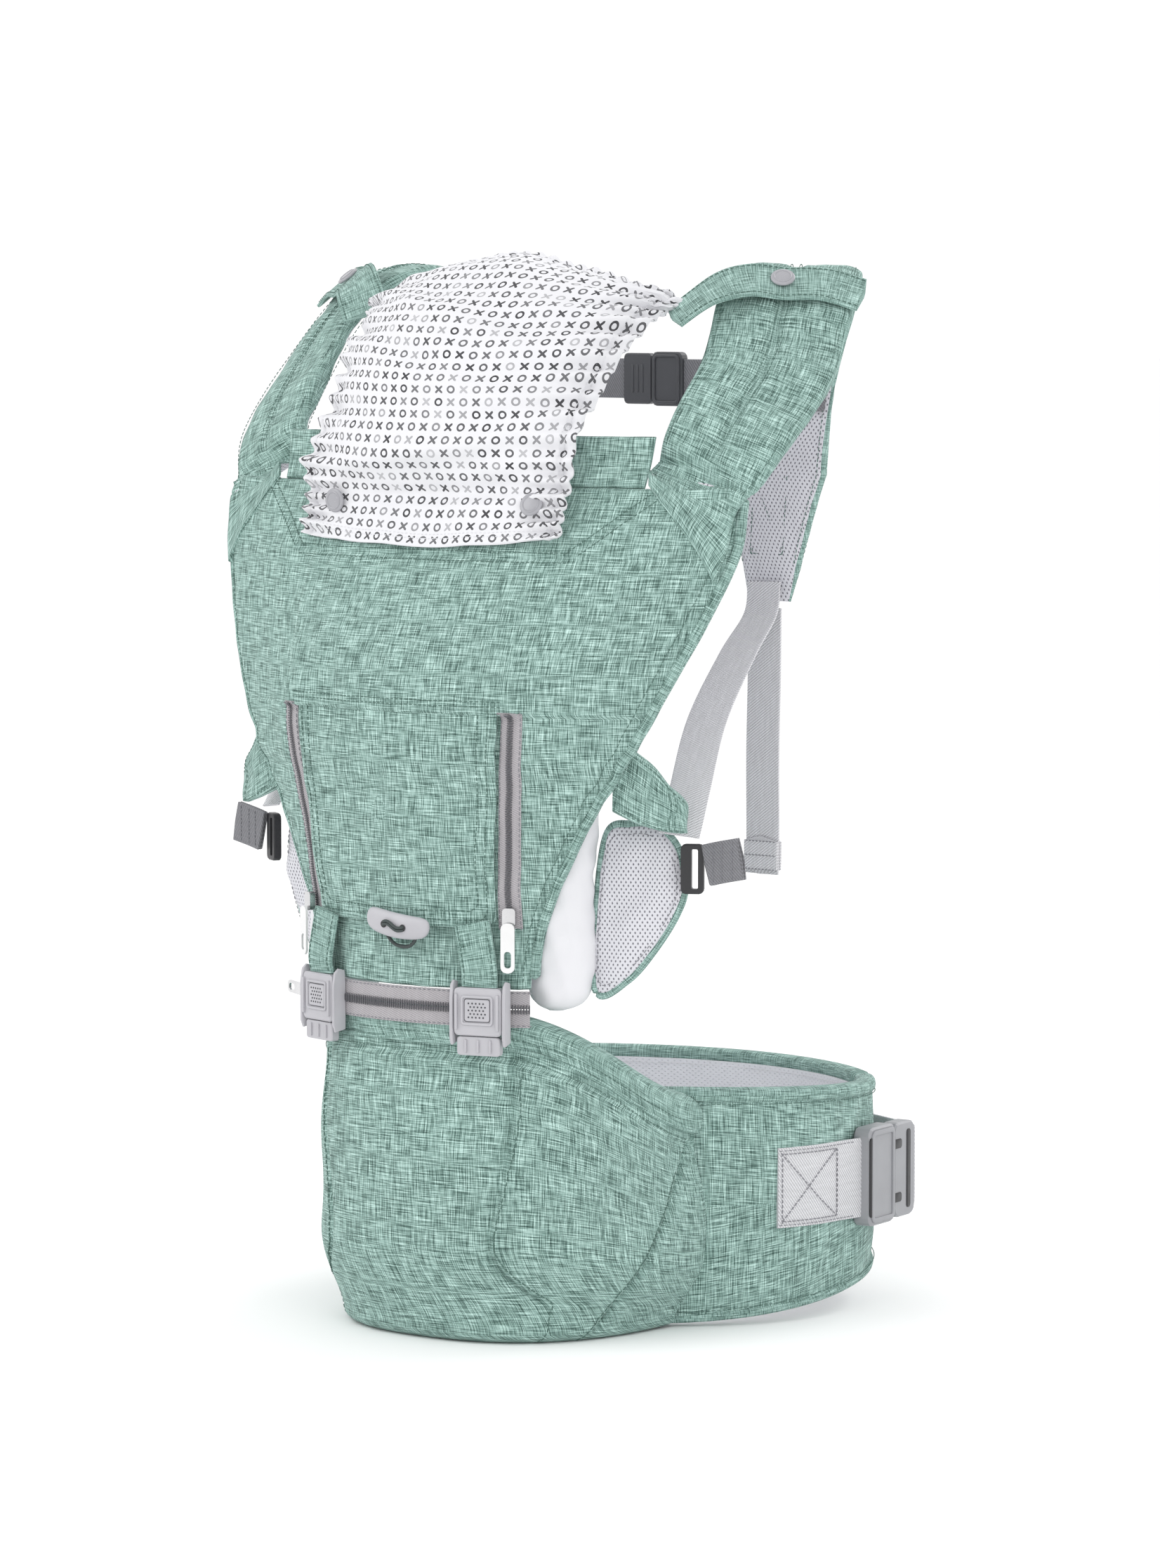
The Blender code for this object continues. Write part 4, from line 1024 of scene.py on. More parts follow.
# ---- toggle --------------------------------------------------------------------------------------
def make_toggle():
    """The toggle on the centre flap, with its elastic."""
    z = 0.2552
    centre = vec(0.0100, cad_y(0.0100, z) - 0.0102, z)
    tilt = math.radians(-6)
    along, up = vec(math.cos(tilt), 0, math.sin(tilt)), vec(-math.sin(tilt), 0, math.cos(tilt))
    rings = []
    for share in np.sin(np.linspace(-math.pi / 2, math.pi / 2, 44)):
        barrel = max(0.0004, 1 - abs(share) ** 9) ** 0.42 * (1 - 0.16 * share * share)
        wide = 0.0073 * barrel * (1 - 0.05 * share)
        deep = 0.0036 * barrel
        a = np.arange(28)[:, None] * 2 * math.pi / 28
        ridge = 1 + 0.05 * np.cos(2 * a)
        bend = up * 0.0022 * share * share + vec(0, 0.0012, 0) * share * share
        rings.append(
            centre + along * 0.0240 * share + bend + up * wide * np.cos(a) * ridge
            + vec(0, -1, 0) * deep * np.sin(a)
        )
    loft("horn_toggle", rings, [LIGHT_PLASTIC], "toggle_bar", ["toggle"])
    # The two holes are flat black discs laid on the toggle: painted shade, not openings.
    for k, shift in enumerate((-0.0074, 0.0074)):
        spot = place_at(centre + along * shift + vec(0, -0.00352, 0), vec(1, 0, 0), vec(0, -1, 0))
        circle = [(0.0022 * math.cos(a), 0.0022 * math.sin(a)) for a in np.arange(20) * math.pi / 10]
        plate("toggle_hole_%d" % k, circle, 0.0003, spot, [BLACK_PLASTIC], "toggle_bar", bevel=0.0001)
    for k, lift in enumerate((-0.0009, 0.0009)):
        bridge = [
            centre + along * a + vec(0, -0.0035 - d, 0) + up * (h + lift) for a, d,
            h in ((-0.0080, -0.0010, 0), (-0.0068, 0.0010, 0.0010), (-0.0030, 0.0016, 0.0016), (0.0030, 0.0016, -0.0010), (0.0068, 0.0010, -0.0008), (0.0080, -0.0010, 0))
        ]
        tube("toggle_cord_front_%d" % k, curve(bridge, 26), 0.0009, CORD, "toggle_bar")
    loop = [
        centre + vec(-0.0035, 0.0046, 0.0), centre + vec(-0.0105, 0.0040, -0.0055),
        centre + vec(-0.0050, 0.0046, -0.0120), centre + vec(0.0060, 0.0046, -0.0125),
        centre + vec(0.0115, 0.0040, -0.0060), centre + vec(0.0040, 0.0046, 0.0)
    ]
    tube("toggle_cord_loop", curve(loop, 40), 0.00115, CORD, "carrier")


# ---- leg openings --------------------------------------------------------------------------------
def loop_points(outline, count):
    """A smooth closed outline through the given points."""
    pts = np.array(outline, float)
    wide = np.vstack([pts[-2:], pts, pts[:3]])
    line = curve(np.column_stack([wide, np.zeros(len(wide))]), 40 * (len(wide) - 1) + 1)[:, :2]
    line = line[80:-79]
    flat = resample(
        np.column_stack([line, np.zeros(len(line))]),
        np.linalg.norm(np.diff(line, axis=0), axis=1).sum() / count
    )
    return flat[:count, :2]


def make_wing(side, tag):
    """The cloth wing that a shoulder strap's webbing hooks to."""
    t = np.linspace(0, 1, 60)[None]
    k = np.linspace(0, 1, 36)[:, None]
    x = side * (0.132 + 0.043 * t)
    y = -0.2050 + 0.018 * t - 0.003 * np.sin(math.pi * t)
    top = 0.3735 - 0.030 * t - 0.012 * t ** 4
    low = 0.3270 - 0.018 * t + 0.006 * t ** 4
    z = low + (top - low) * k
    dent = 0.0012 * np.sin(z / 0.0105 * math.pi) * np.exp(-((t - 0.75) / 0.3) ** 2) + 0.0008 * ripple(
        np.stack([x + 0 * z, 0 * z, z], 2), 0.03, 41
    )
    grid = np.stack([x + 0 * z, y + 0.0060 - dent, z], 2)
    obj, face = shell(
        "carrier_wing_" + tag, grid, 0.006, (side * 0.4, -1, 0), [LINEN], "carrier", ["wing_" + tag]
    )
    for level in (0.06, 0.94):
        sew_on(face, "carrier", GREEN_THREAD, level, np.linspace(0.05, 0.95, 40))
    for column in (0.80, 0.86):
        sew_on(face, "carrier", GREEN_THREAD, np.linspace(0.1, 0.9, 40), column)


def on_leg(side, t, z):
    """A point of the leg netting: t is 0 at the panel and 1 at the netting's far edge."""
    return np.stack([side * (0.1110 + 0.0450 * t), -0.1800 + 0.0200 * t, z], 1)


def make_leg_flap(side, tag):
    """The mesh flap of a leg opening, with its piping."""
    outline = [(-.08, .2160), (0.30, .2240), (0.62, .2420), (0.90, .2640), (1.00, .2810),
               (0.92, .3020), (0.66, .3150), (0.34, .3160), (0.05, .3090), (-.08, .2600)]
    line = loop_points(outline, 110)
    middle = vec(0.42, 0.2690)
    rings, spots = [], []
    steps = [
        (s, 0.0) for s in np.linspace(0.03, 0.97, 22)
    ] + [(1.0, 0.2), (1.008, 0.5), (1.0, 0.8)] + [(s, 1.0) for s in np.linspace(0.97, 0.03, 12)]
    for share, level in steps:
        t, z = (middle + (line - middle) * share).T
        puff = 0.0024 * (1 - min(1, share) ** 4) * (1 if level < 0.5 else -0.6)
        depth = 0.008 * level - puff
        flat = on_leg(side, t, z)
        wrinkle = 0.0010 * ripple(flat, 0.022, 51)[:, None]
        ring = flat + vec(-side * 0.45, 0.9, 0) * depth + vec(side * 0.3, -0.95, 0) * wrinkle
        rings.append(ring)
        spots.append(np.column_stack([t * 0.050, z]))
    rings = np.array(rings)
    obj = loft("leg_netting_" + tag, rings, [NETTING], "carrier", ["leg_flap_" + tag])
    layer = obj.data.uv_layers[0]
    spots = np.array(spots).reshape(-1, 2)
    index = np.empty(len(obj.data.loops), np.int32)
    obj.data.loops.foreach_get("vertex_index", index)
    layer.data.foreach_set("uv", spots[index].astype(np.float32).ravel())
    t, z = (middle + (line - middle) * 1.012).T
    rim = on_leg(side, t, z) + vec(-side * 0.45, 0.9, 0) * 0.004
    rim = np.vstack([rim, rim[:2]])
    tube("leg_piping_" + tag, rim, 0.0031, LINEN_BIAS, "carrier", count=10)
    t, z = (middle + (line - middle) * 0.90).T
    row = on_leg(side, t, z) + vec(side * 0.3, -0.95, 0) * 0.0012
    sew("carrier", GREY_THREAD, row, vec(side * 0.43, -0.9, 0))


def make_leg_pad(side, tag):
    """The soft white roll that lines a leg opening."""
    path = curve(
        [(0.0800, -0.1870, 0.2030), (0.0835, -0.1870, 0.2250), (0.0870, -0.1875, 0.2600), (0.0910, -0.1880, 0.3000), (0.1010, -0.1880, 0.3360)],
        80
    )
    radius = ease(
        np.linspace(0, 1, 80), np.array([0, .06, .2, .45, .75, .93, 1.0]),
        np.array([.006, .0175, .0215, .0215, .0190, .0120, .004])
    )
    a = np.arange(64) * 2 * math.pi / 64
    ring = np.stack([side * 0.98 * np.cos(a), 0.88 * np.sin(a), 0 * a], 1)
    path[:, 0] *= side
    rings = path[:, None] + ring[None] * radius[:, None, None]
    wave = 0.0016 * ripple(rings * vec(1, 1, 0.45), 0.028, 61) + 0.0006 * ripple(rings, 0.011, 62)
    rings = rings + ring[None] * wave[..., None]
    obj = loft("leg_roll_" + tag, rings, [COTTON], "carrier", ["leg_pad_" + tag])


def make_wing_fittings(side, tag):
    """The wing's buckle and the short end of webbing beyond it."""
    dress(BLACK_PLASTIC, "wing_buckle_" + tag)
    path = curve(
        [(side * .1745, -.1612, .2945), (side * .1850, -.1600, .2970), (side * .2000, -.1585, .3000)], 26
    )
    for layer, shift in enumerate((-0.0011, 0.0011)):
        sweep(
            "wing_tail_layer_%s_%d" % (tag, layer), path + vec(0, shift, 0), vec(0, 0, 1),
            oval(0.0252, 0.0019, 20, 0.3), [WEBBING_DARK], "carrier", ["wing_tail_" + tag] if layer else [],
            ends=0.0012
        )
    for share in (8, 14, 20):
        row = path[share] + np.linspace(-0.010, 0.010, 12)[:, None] * vec(0, 0, 1) + vec(0, -0.0022, 0)
        sew("carrier", GREY_THREAD, row, vec(0, -1, 0), pitch=0.0026, length=0.0019)


# ---- shoulder straps -----------------------------------------------------------------------------
STRAP_ROOT = [(.1600, -.1860, .4930), (.1655, -.1700, .5100)]
STRAP_PATH = [
    (.1695, -.1570, .5255), (.1770, -.1440, .5500), (.1800, -.1080, .5890), (.1690, -.0740, .6290),
    (.1520, -.0400, .6450), (.1310, -.0120, .6310), (.1180, -.0030, .5880), (.1130, -.0060, .5280),
    (.1120, -.0120, .4440)
]
STRAP_SIDES = [
    (.97, .20, 0), (.90, .42, 0), (.84, .54, 0), (.80, .60, 0), (.85, .52, 0), (.93, .36, 0), (.98, .20, 0),
    (1, .08, 0), (1, 0, 0)
]


def strap_half(t):
    """Half the width of a shoulder strap."""
    return 0.040 * np.where(
        t > 0.88, 0.90 - 4.2 * (t - 0.88),
        0.83 + 0.20 * np.sin(math.pi * np.clip(t, 0, 0.77) * 1.3) + 0.07 * smooth((t - 0.7) * 4)
    )


def make_strap(side, tag):
    """The pad starts flat on the panel, below the notch, and t is 0 where it leaves the panel."""
    flip = vec(side, 1, 1)
    root, count = 42, 170
    path = np.vstack([curve(STRAP_ROOT + STRAP_PATH[:2], 3 * root + 1)[:2 * root], curve(STRAP_PATH, count)]) * flip
    across = np.vstack([np.repeat([vec(.97, .20, 0)], 2 * root, 0), curve(STRAP_SIDES, count)]) * vec(1, side, 1)
    t = np.concatenate([np.linspace(-0.24, -0.003, 2 * root), np.linspace(0, 1, count)])[:, None]
    count = len(path)
    a = (np.arange(72) * 2 * math.pi / 72)[None]
    c, s = np.cos(a), np.sin(a)
    share = np.sign(c) * np.abs(c) ** 0.75
    half = strap_half(t)
    thick = 0.0065 * (0.20 + 0.80 * smooth((t + 0.03) / 0.10)) * (0.45 + 0.55 * smooth((1.0 - t) / 0.06))
    rise = np.sign(s) * np.abs(s) ** 0.62 * thick * (1.12 - 0.12 * share ** 4)
    outer = s < 0
    ridge = np.exp(-(share / 0.05) ** 2) * smooth((t - 0.02) / 0.05) * smooth((0.60 - t) / 0.1)
    rise = rise + np.where(outer, 0.0024, 0.0) * ridge
    for seam in (-0.02, 0.02):
        rise = rise - np.sign(rise) * 0.0012 * np.exp(-((t - seam - 0.03 * share) / 0.004) ** 2)
    section = np.stack([share * half, rise + 0 * share], 2)
    _, axis, out = frames(path, across)
    rings = path[:, None] + axis[:, None] * section[..., :1] + out[:, None] * section[..., 1:]
    rings = rings - vec(0, 0, 1) * (side * share * 0.019 * (1 - smooth((t + 0.24) / 0.26)))[..., None]
    z = np.minimum(rings[..., 2], NOTCH_Z - 0.0005)
    x = side * (0.1445 + (panel_half(z) - 0.0020 - 0.1445) * (side * share + 1) / 2)
    flat = np.stack([x, panel_y(x, z) - panel_dent(x, z) - np.where(outer, 0.0016, -0.0006), rings[..., 2]], 2)
    hold = (1 - smooth((t + 0.13) / 0.13))[..., None]
    rings = rings * (1 - hold) + flat * hold
    wave = 0.0010 * smooth((t + 0.1) / 0.15) * ripple(
        rings, 0.05, 71 + side
    ) + 0.0004 * ripple(rings, 0.015, 73)
    rings = rings + out[:, None] * (wave * np.sign(s))[..., None]

    def paint(places, rows, columns):
        j = places[:, :, 1].mean(1) * 2 * math.pi / columns
        inner = (np.sin(j) > 0.0) & (np.abs(np.cos(j)) < 0.93)
        return np.where(inner, 1, np.where(np.abs(np.cos(j)) >= 0.93, 2, 0))
    obj = loft(
        "shoulder_pad_" + tag, rings, [LINEN, NETTING, LINEN_BIAS], "carrier", ["shoulder_strap_" + tag],
        paint=paint
    )

    def row(share_across, inner, low, high, lift=0.0004):
        k = slice(int(np.searchsorted(t[:, 0], low)), int(np.searchsorted(t[:, 0], high)))
        level = thick[k, 0] * (1 - abs(share_across) ** 6) ** 0.5 * 1.0 + lift
        sign = 1 if inner else -1
        return path[k] + axis[k] * (half[k] * share_across) + out[k] * (sign * level)[:, None], out[k] * sign
    for edge in (-0.90, 0.90):
        for inner in (False, True):
            line, normal = row(edge, inner, 0.01, 0.97)
            sew("carrier", GREEN_THREAD, line, normal)
    for edge in (-0.07, 0.07):
        line, normal = row(edge, False, 0.08, 0.6)
        sew("carrier", GREEN_THREAD, line, normal)
    band = int(np.searchsorted(t[:, 0], 0.775))
    grid = []
    for k in range(band - 6, band + 6):
        level = thick[k, 0] * 1.05 + 0.0012
        grid.append(
            path[k] + axis[k] * half[k] * np.linspace(-0.93, 0.93, 24)[:, None]
            + out[k] * (level * (1 - 0.35 * np.linspace(-1, 1, 24) ** 6))[:, None]
        )
    obj, face = shell("strap_band_" + tag, np.array(grid), 0.0016, out[band], [WEBBING_DARK], "carrier")
    for r in (0.1, 0.9):
        sew_on(face, "carrier", GREY_THREAD, r, np.linspace(0.03, 0.97, 40))
    for inner in (False, True):
        marks = []
        sign = 1 if inner else -1
        for ka, sa in (
            (0.885, -0.55), (0.885, 0.55), (0.955, 0.55), (0.955, -0.55), (0.885, -0.55), (0.955, 0.55),
            (0.955, -0.55), (0.885, 0.55)
        ):
            k = int(np.searchsorted(t[:, 0], ka))
            marks.append(path[k] + axis[k] * 0.022 * sa + out[k] * sign * (thick[k, 0] + 0.0006))
        sew(
            "carrier", GREEN_THREAD, resample(marks, 0.002), out[int(np.searchsorted(t[:, 0], 0.92))] * sign,
            pitch=0.0028, length=0.0021
        )
    run = curve(
        [(.1120, -.0180, .4560), (.1124, -.0225, .4360), (.1170, -.0520, .4130), (.1330, -.1050, .3760), (.1560, -.1530, .3380), (.1610, -.1700, .3125)],
        80
    ) * flip
    turn = curve(
        [(1, 0, 0), (1, 0, 0), (.97, .2, 0), (.90, .4, 0), (.86, .5, 0), (.86, .5, 0)], 80
    ) * vec(1, side, 1)
    sweep(
        "strap_web_" + tag, run, turn, oval(0.025, 0.0017, 22, 0.3), [WEBBING], "carrier",
        ["strap_webbing_" + tag]
    )
    tail = curve([(.1120, -.0170, .4400), (.1110, -.0170, .3600), (.1100, -.0170, .2740)], 60) * flip
    tail[:, 1] += 0.0008 * np.sin(np.linspace(0, 9, 60)) * np.linspace(0, 1, 60)
    hanging = "strap_tail_body_" + tag
    obj = sweep(
        "strap_tail_web_" + tag, tail, vec(1, 0, 0), oval(0.025, 0.0017, 22, 0.3), [WEBBING], hanging,
        ["strap_tail_" + tag]
    )
    end = tail[-9:].copy()
    for layer in (-1, 1):
        sweep(
            "tail_fold_%s_%d" % (tag, layer + 1), end + vec(0, layer * 0.0019, 0), vec(1, 0, 0),
            oval(0.0256, 0.0019, 20, 0.3), [WEBBING], hanging, ends=0.001
        )
    for sign in (-1, 1):
        for k in (1, 4, 7):
            line = end[k] + np.linspace(-0.0105, 0.0105, 12)[:, None] * vec(1, 0, 0) + vec(0, sign * 0.0030, 0)
            sew(hanging, GREY_THREAD, line, vec(0, sign, 0), pitch=0.0026, length=0.0019)


# ---- chest strap and waist buckle ----------------------------------------------------------------
def make_chest():
    """The chest strap between the shoulder straps, with its buckle."""
    z, y, x = 0.5800, -0.0010, 0.0130
    dress(DARK_PLASTIC, "chest_socket", "chest_plug")
    for tag, ends in (("right", (x + 0.0245, 0.0735)), ("left", (x - 0.0220, -0.0735))):
        path = curve([(ends[0], y, z), ((ends[0] + ends[1]) / 2, y + 0.0012, z), (ends[1], y, z)], 40)
        sweep(
            "chest_web_" + tag, path, vec(0, 0, 1), oval(0.025, 0.0026, 20, 0.3), [WEBBING_DARK], "chest_strap",
            ["chest_webbing_" + tag]
        )
    place = place_at((x + 0.0125, y + 0.0035 - 0.0070, z), vec(1, 0, 0), vec(0, -1, 0))
    rings = laid(place, rounded_ring(0.021, 0.031, 0.004, 0.0010, 0.0018))
    loft("chest_socket_rim", rings, [DARK_PLASTIC], "chest_strap", caps=False)
    for k in (-1, 0, 1):
        plate(
            "chest_rib_%d" % (k + 1), box_round(0.0020, 0.018, 0.0009, 3), 0.0010,
            moved(place, -0.0235 + k * 0.0038, 0, -0.0012), [DARK_PLASTIC], "chest_strap", bevel=0.0003
        )


WAIST_Z = 0.0840
WAIST_WAY = unit(vec(-0.12, 0.993, 0.0))
WAIST_OUT = vec(WAIST_WAY[1], -WAIST_WAY[0], 0.0)
WAIST_START = vec(BELT_A + 0.0048, 0.0150, WAIST_Z)


def make_waist():
    """The waist webbing with its sewn box, and the waist buckle."""
    angle = np.radians(np.array([-22.5, -16, -9, 0]))
    x, y = belt_xy(angle, -0.0022)
    arc = np.stack([x, y, 0 * x + WAIST_Z], 1)
    path = curve(np.vstack([arc, WAIST_START + WAIST_WAY * 0.002]), 70)
    sweep(
        "waist_web_right", path, vec(0, 0, 1), oval(0.050, 0.0026, 26, 0.25), [WEBBING], "hip_seat",
        ["waist_webbing_right"]
    )
    _, _, out = frames(path, np.broadcast_to(vec(0, 0, 1), path.shape))
    lift = out * np.sign((out * WAIST_OUT).sum(1))[:, None] * 0.0017
    box = [(3, -.021), (3, .021), (46, .021), (46, -.021), (3, -.021), (46, .021), (46, -.021), (3, .021)]
    marks = resample([(k, h * 1000, 0) for k, h in box], 2.0)
    row = np.stack(
        [np.interp(marks[:, 0], np.arange(70), (path + lift)[:, k]) for k in range(3)], 1
    ) + marks[:, 1:2] / 1000 * vec(0, 0, 1)
    sew("hip_seat", GREY_THREAD, row, WAIST_OUT, pitch=0.0032, length=0.0024, radius=0.00036)
    for h in (-0.0232, 0.0232):
        sew("hip_seat", GREY_THREAD, path[2:60] + lift[2:60] + vec(0, 0, h), WAIST_OUT)
    dress(BUCKLE_PLASTIC, "waist_socket", "waist_plug")
    socket = place_at(WAIST_START + WAIST_WAY * 0.0175 + WAIST_OUT * 0.0068, WAIST_WAY, WAIST_OUT)
    rings = laid(socket, rounded_ring(0.0300, 0.0580, 0.0045, 0.0014, 0.0030))
    loft("waist_socket_rim", rings, [BUCKLE_PLASTIC], "hip_seat", caps=False)
    # The black plates on the socket's end and on the plug are painted shade of the buckle's slots and openings.
    plate(
        "waist_socket_bar", box_round(0.0048, 0.0500, 0.002), 0.0010, moved(socket, -0.0150, 0, 0.0),
        [BLACK_PLASTIC], "hip_seat", bevel=0.0003
    )
    plug = place_at(WAIST_START + WAIST_WAY * 0.0480 + WAIST_OUT * 0.0062, WAIST_WAY, WAIST_OUT)
    plate(
        "waist_plug_slot", box_round(0.0050, 0.0500, 0.002), 0.0006, moved(plug, 0.0045, 0, 0.0),
        [BLACK_PLASTIC], "hip_seat", bevel=0.0002
    )
    for h in (-0.0170, 0.0170):
        plate(
            "waist_notch_%d" % (h > 0), box_round(0.0100, 0.0060, 0.002), 0.0006, moved(plug, -0.0095, h, 0.0),
            [BLACK_PLASTIC], "hip_seat", bevel=0.0002
        )
    end = WAIST_START + WAIST_WAY * 0.0565
    angle = np.radians(np.array([62, 85, 108, 131, 154]))
    x, y = belt_xy(angle, -0.0032)
    tail = np.stack([x, y, 0 * x + WAIST_Z], 1)
    path = curve(np.vstack([end, WAIST_START + WAIST_WAY * 0.0735 + vec(-0.004, 0, 0), tail]), 110)
    sweep(
        "waist_web_left", path, vec(0, 0, 1), oval(0.050, 0.0026, 26, 0.25), [WEBBING], "hip_seat",
        ["waist_webbing_left"]
    )


# ---- hood ----------------------------------------------------------------------------------------
HOOD = np.array([(.4890, -.2235, .101, 1.3), (.5130, -.2125, .102, .9), (.5480, -.2180, .103, 2.4), (.5880, -.2130, .107, 4.2),
                 (.6280, -.1870, .114, 4.4), (.6500, -.1490, .120, 2.4), (.6550, -.1140, .122, .6)])

TAB_PATH = [
    (.1200, -.1240, .6190), (.1400, -.1080, .6365), (.1560, -.0925, .6425), (.1721, -.0781, .6405),
    (.1900, -.0640, .6400), (.2100, -.0500, .6330)
]
TAB_SNAP = (.1712, -.0805, .6435)


def hood_surface(rows, shares):
    """rows run 0 to 1 from the hem to the upper edge, shares -1 to 1 from side to side."""
    line = curve(HOOD[:, :3], 400)
    bows = curve(np.column_stack([HOOD[:, 3], 0 * HOOD[:, :2]]), 400)[:, 0]
    at = rows * 399
    z, y, half = (np.interp(at, np.arange(400), line[:, k]) for k in range(3))
    bow = np.interp(at, np.arange(400), bows)
    x = half * shares
    drop = 0.030 * smooth((rows * 12 - 6) / 6) * shares * shares
    sag = -0.006 * (1 - shares * shares) * smooth(1 - rows * 6)
    return np.stack([x, y + bow * x * x, z - drop + sag], -1)


def make_hood():
    """The gathered hood cloth, its tabs and its snaps."""
    rows, shares = np.meshgrid(np.linspace(0, 1, 180), np.linspace(-1, 1, 200), indexing="ij")
    grid = hood_surface(rows, shares)
    n = normals_of(grid, (0, -1, 0.2))
    gather = smooth((np.abs(shares) - 0.62) / 0.3)
    run = rows * 0.23
    teeth = np.sin(
        2 * math.pi * run / 0.0125 + 1.5 * ripple(grid * vec(0, 0, 1), 0.05, 81) + 2.0 * np.sign(shares)
    )
    wave = 0.0030 * gather * teeth
    wave += 0.0012 * smooth((np.abs(shares) - 0.25) / 0.4) * np.sin(
        2 * math.pi * run / 0.025 + 2.0 * ripple(grid, 0.12, 82)
    )
    wave += 0.0030 * ripple(
        grid * vec(0.6, 1, 1), 0.085, 83
    ) * smooth(rows * 5) + 0.0008 * ripple(grid, 0.03, 84)
    # folds right across the cloth: how far each stands out, where it crosses the middle, its slant, its width
    for rise, level, slant, wide in ((0.0042, 0.30, 0.05, 0.035), (-0.0036, 0.17, 0.03, 0.03),
                                     (0.0034, 0.64, -0.12, 0.032), (-0.0030, 0.53, -0.09, 0.03)):
        wave += rise * np.exp(-((rows - level - slant * shares) / wide) ** 2)
    wave += 0.0012 * np.sin(2 * math.pi * shares / 0.085) * smooth((rows - 0.9) / 0.1)
    pinch = -0.0024 * np.exp(-((np.abs(shares) - 0.93) / 0.018) ** 2)
    grid = grid + n * (wave + pinch)[..., None]
    obj, face = shell("hood_cover_cloth", grid, 0.0022, (0, -1, 0.2), [PRINT, COTTON], "hood_cover", ["hood"])
    for column in (0.033, 0.045, 0.955, 0.967):
        sew_on(
            face, "hood_cover", WHITE_THREAD, np.linspace(0.01, 0.99, 150), column, pitch=0.003, length=0.002
        )
    for level in (0.03, 0.045, 0.965):
        sew_on(face, "hood_cover", WHITE_THREAD, level, np.linspace(0.01, 0.99, 150), pitch=0.003, length=0.002)
    for side, tag in SIDES:
        x = side * 0.0760 + 0.004
        spot, normal = face.read(
            np.interp(0.5075, face.grid[:60, 100, 2], np.linspace(0, 59 / 179, 60)), (x / 0.102 + 1) / 2
        )
        place = place_at(spot + normal * 0.0018, vec(1, 0, 0), normal)
        snap("hood_snap_", tag, place)
        path = curve(TAB_PATH, 70) * vec(side, 1, 1)
        way = vec(-0.30 * side, 0.735, 0.606)
        sweep(
            "tab_strip_" + tag, path, way, oval(0.030, 0.0028, 24, 0.35), [LINEN_BIAS], "hood_cover",
            ["hood_tab_" + tag], ends=0.002
        )
        _, axis, out = frames(path, np.broadcast_to(way, path.shape))
        out = out * np.sign(out[:, 2])[:, None]
        for edge in (-0.0125, 0.0125):
            sew("hood_cover", GREEN_THREAD, path[2:-2] + axis[2:-2] * edge + out[2:-2] * 0.0015, out[2:-2])
        snap(
            "tab_snap_", tag,
            place_at(vec(side * TAB_SNAP[0], *TAB_SNAP[1:]), vec(0.8, 0.6 * side, 0), vec(0.364 * side, -0.485, 0.768))
        )


def snap(name, tag, place):
    """A press stud: a domed cap with a ring on it."""
    circle = np.array([(math.cos(a), math.sin(a)) for a in np.arange(40) * math.pi / 20])
    plate(
        name + "cap_" + tag, circle * 0.0074, 0.0018, place, [SNAP_PLASTIC], "hood_cover", [name + tag],
        bevel=0.0007, dome=0.0007
    )
    centre, across, up, out = moved(place, 0, 0, 0.0019)
    rings = []
    for r, h in (
        (0.0056, -0.0004), (0.0056, 0.0004), (0.0051, 0.0007), (0.0046, 0.0004), (0.0046, -0.0004),
        (0.0056, -0.0004)
    ):
        rings.append(centre + circle[:, :1] * r * across + circle[:, 1:] * r * up + h * out)
    loft(name + "ring_" + tag, rings, [SNAP_PLASTIC], "hood_cover", caps=False)


# ---- light, floor and camera ---------------------------------------------------------------------
def area_light(name, spot, size, energy, colour=(1, 1, 1)):
    light = bpy.data.lights.new(name, "AREA")
    light.size, light.energy, light.color = size, energy, colour
    obj = bpy.data.objects.new(name, light)
    obj.location = spot
    obj.rotation_euler = (Vector((0, 0.1, 0.33)) - Vector(spot)).to_track_quat("-Z", "Y").to_euler()
    bpy.context.scene.collection.objects.link(obj)


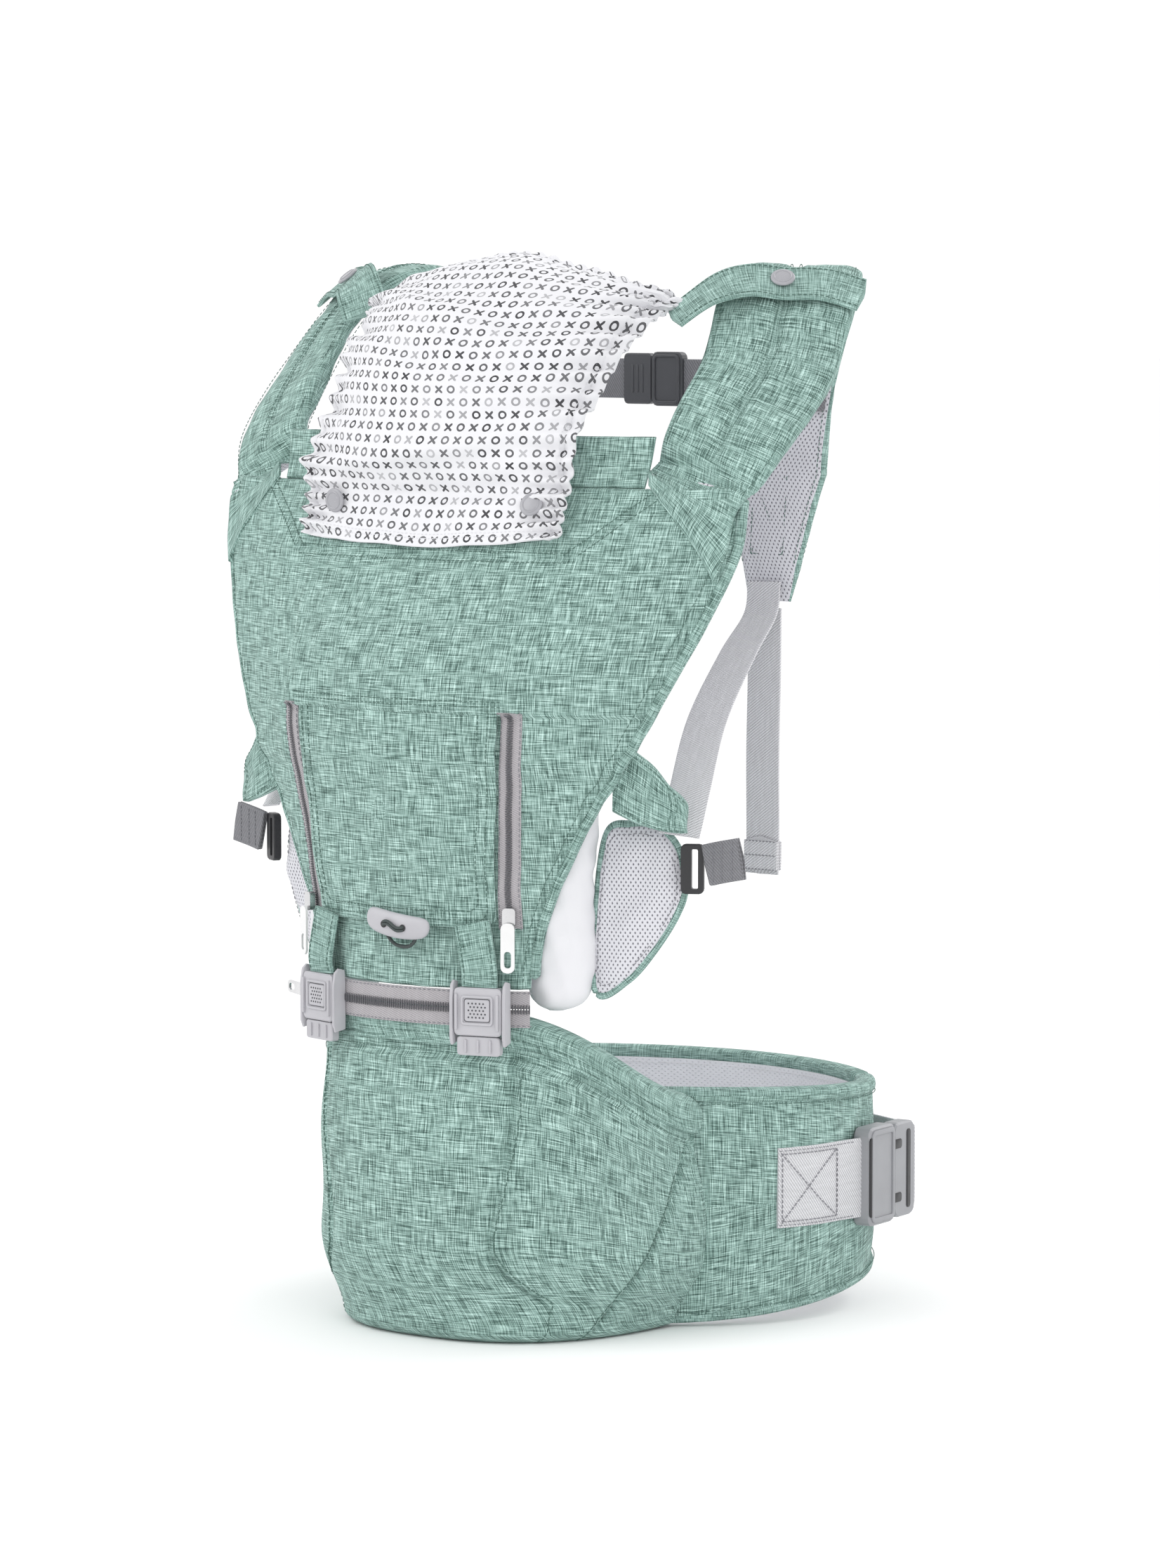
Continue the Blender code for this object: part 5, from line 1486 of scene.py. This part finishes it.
def make_stage():
    """Floor, light and camera."""
    mesh = bpy.data.meshes.new("floor")
    reach = 30.0
    mesh.from_pydata(
        [(-reach, -reach, -0.0006), (reach, -reach, -0.0006), (reach, reach, -0.0006), (-reach, reach, -0.0006)],
        [], [(0, 1, 2, 3)]
    )
    floor_look = Look("floor_paper", 0.9, "Object")
    tone = floor_look.noise(floor_look.place, 1.2, 2.0)
    mesh.materials.append(floor_look.finish(floor_look.mix(tone, (0.945, 0.945, 0.945), (0.955, 0.955, 0.955))))
    floor = bpy.data.objects.new("floor", mesh)
    bpy.context.scene.collection.objects.link(floor)
    world = bpy.data.worlds.new("studio")
    bpy.context.scene.world = world
    world.use_nodes = True
    world.node_tree.nodes["Background"].inputs[0].default_value = (1, 1, 1, 1)
    world.node_tree.nodes["Background"].inputs[1].default_value = 1.07
    area_light("key", (-1.6, -1.9, 2.1), 1.6, 20)
    area_light("fill", (2.2, -1.6, 1.2), 1.8, 13)
    area_light("back", (0.6, 2.2, 1.9), 1.4, 16)
    view = bpy.context.scene.view_settings
    view.view_transform = "Standard"
    view.look = "None"
    camera = bpy.data.cameras.new("camera")
    camera.sensor_width = 36.0
    camera.lens = 139.07
    camera.clip_end = 100.0
    obj = bpy.data.objects.new("camera", camera)
    azimuth, elevation, far = math.radians(38), math.radians(5), 3.8
    target = Vector((0.0, -0.060, 0.327)) + Vector(SHIFT)
    back = Vector((
        math.sin(azimuth) * math.cos(elevation), -math.cos(azimuth) * math.cos(elevation), math.sin(elevation)
    ))
    obj.location = target + back * far
    obj.rotation_euler = (-back).to_track_quat("-Z", "Y").to_euler()
    bpy.context.scene.collection.objects.link(obj)
    bpy.context.scene.camera = obj


def main():
    make_belt()
    make_seat()
    make_seat_zip()
    make_panel()
    make_toggle()
    for side, tag in SIDES:
        make_front_buckle(side, tag)
        make_side_zip(side, tag)
        make_wing(side, tag)
        make_leg_flap(side, tag)
        make_leg_pad(side, tag)
        make_wing_fittings(side, tag)
        make_strap(side, tag)
    make_chest()
    make_waist()
    make_hood()
    finish_sewing()
    make_stage()


main()
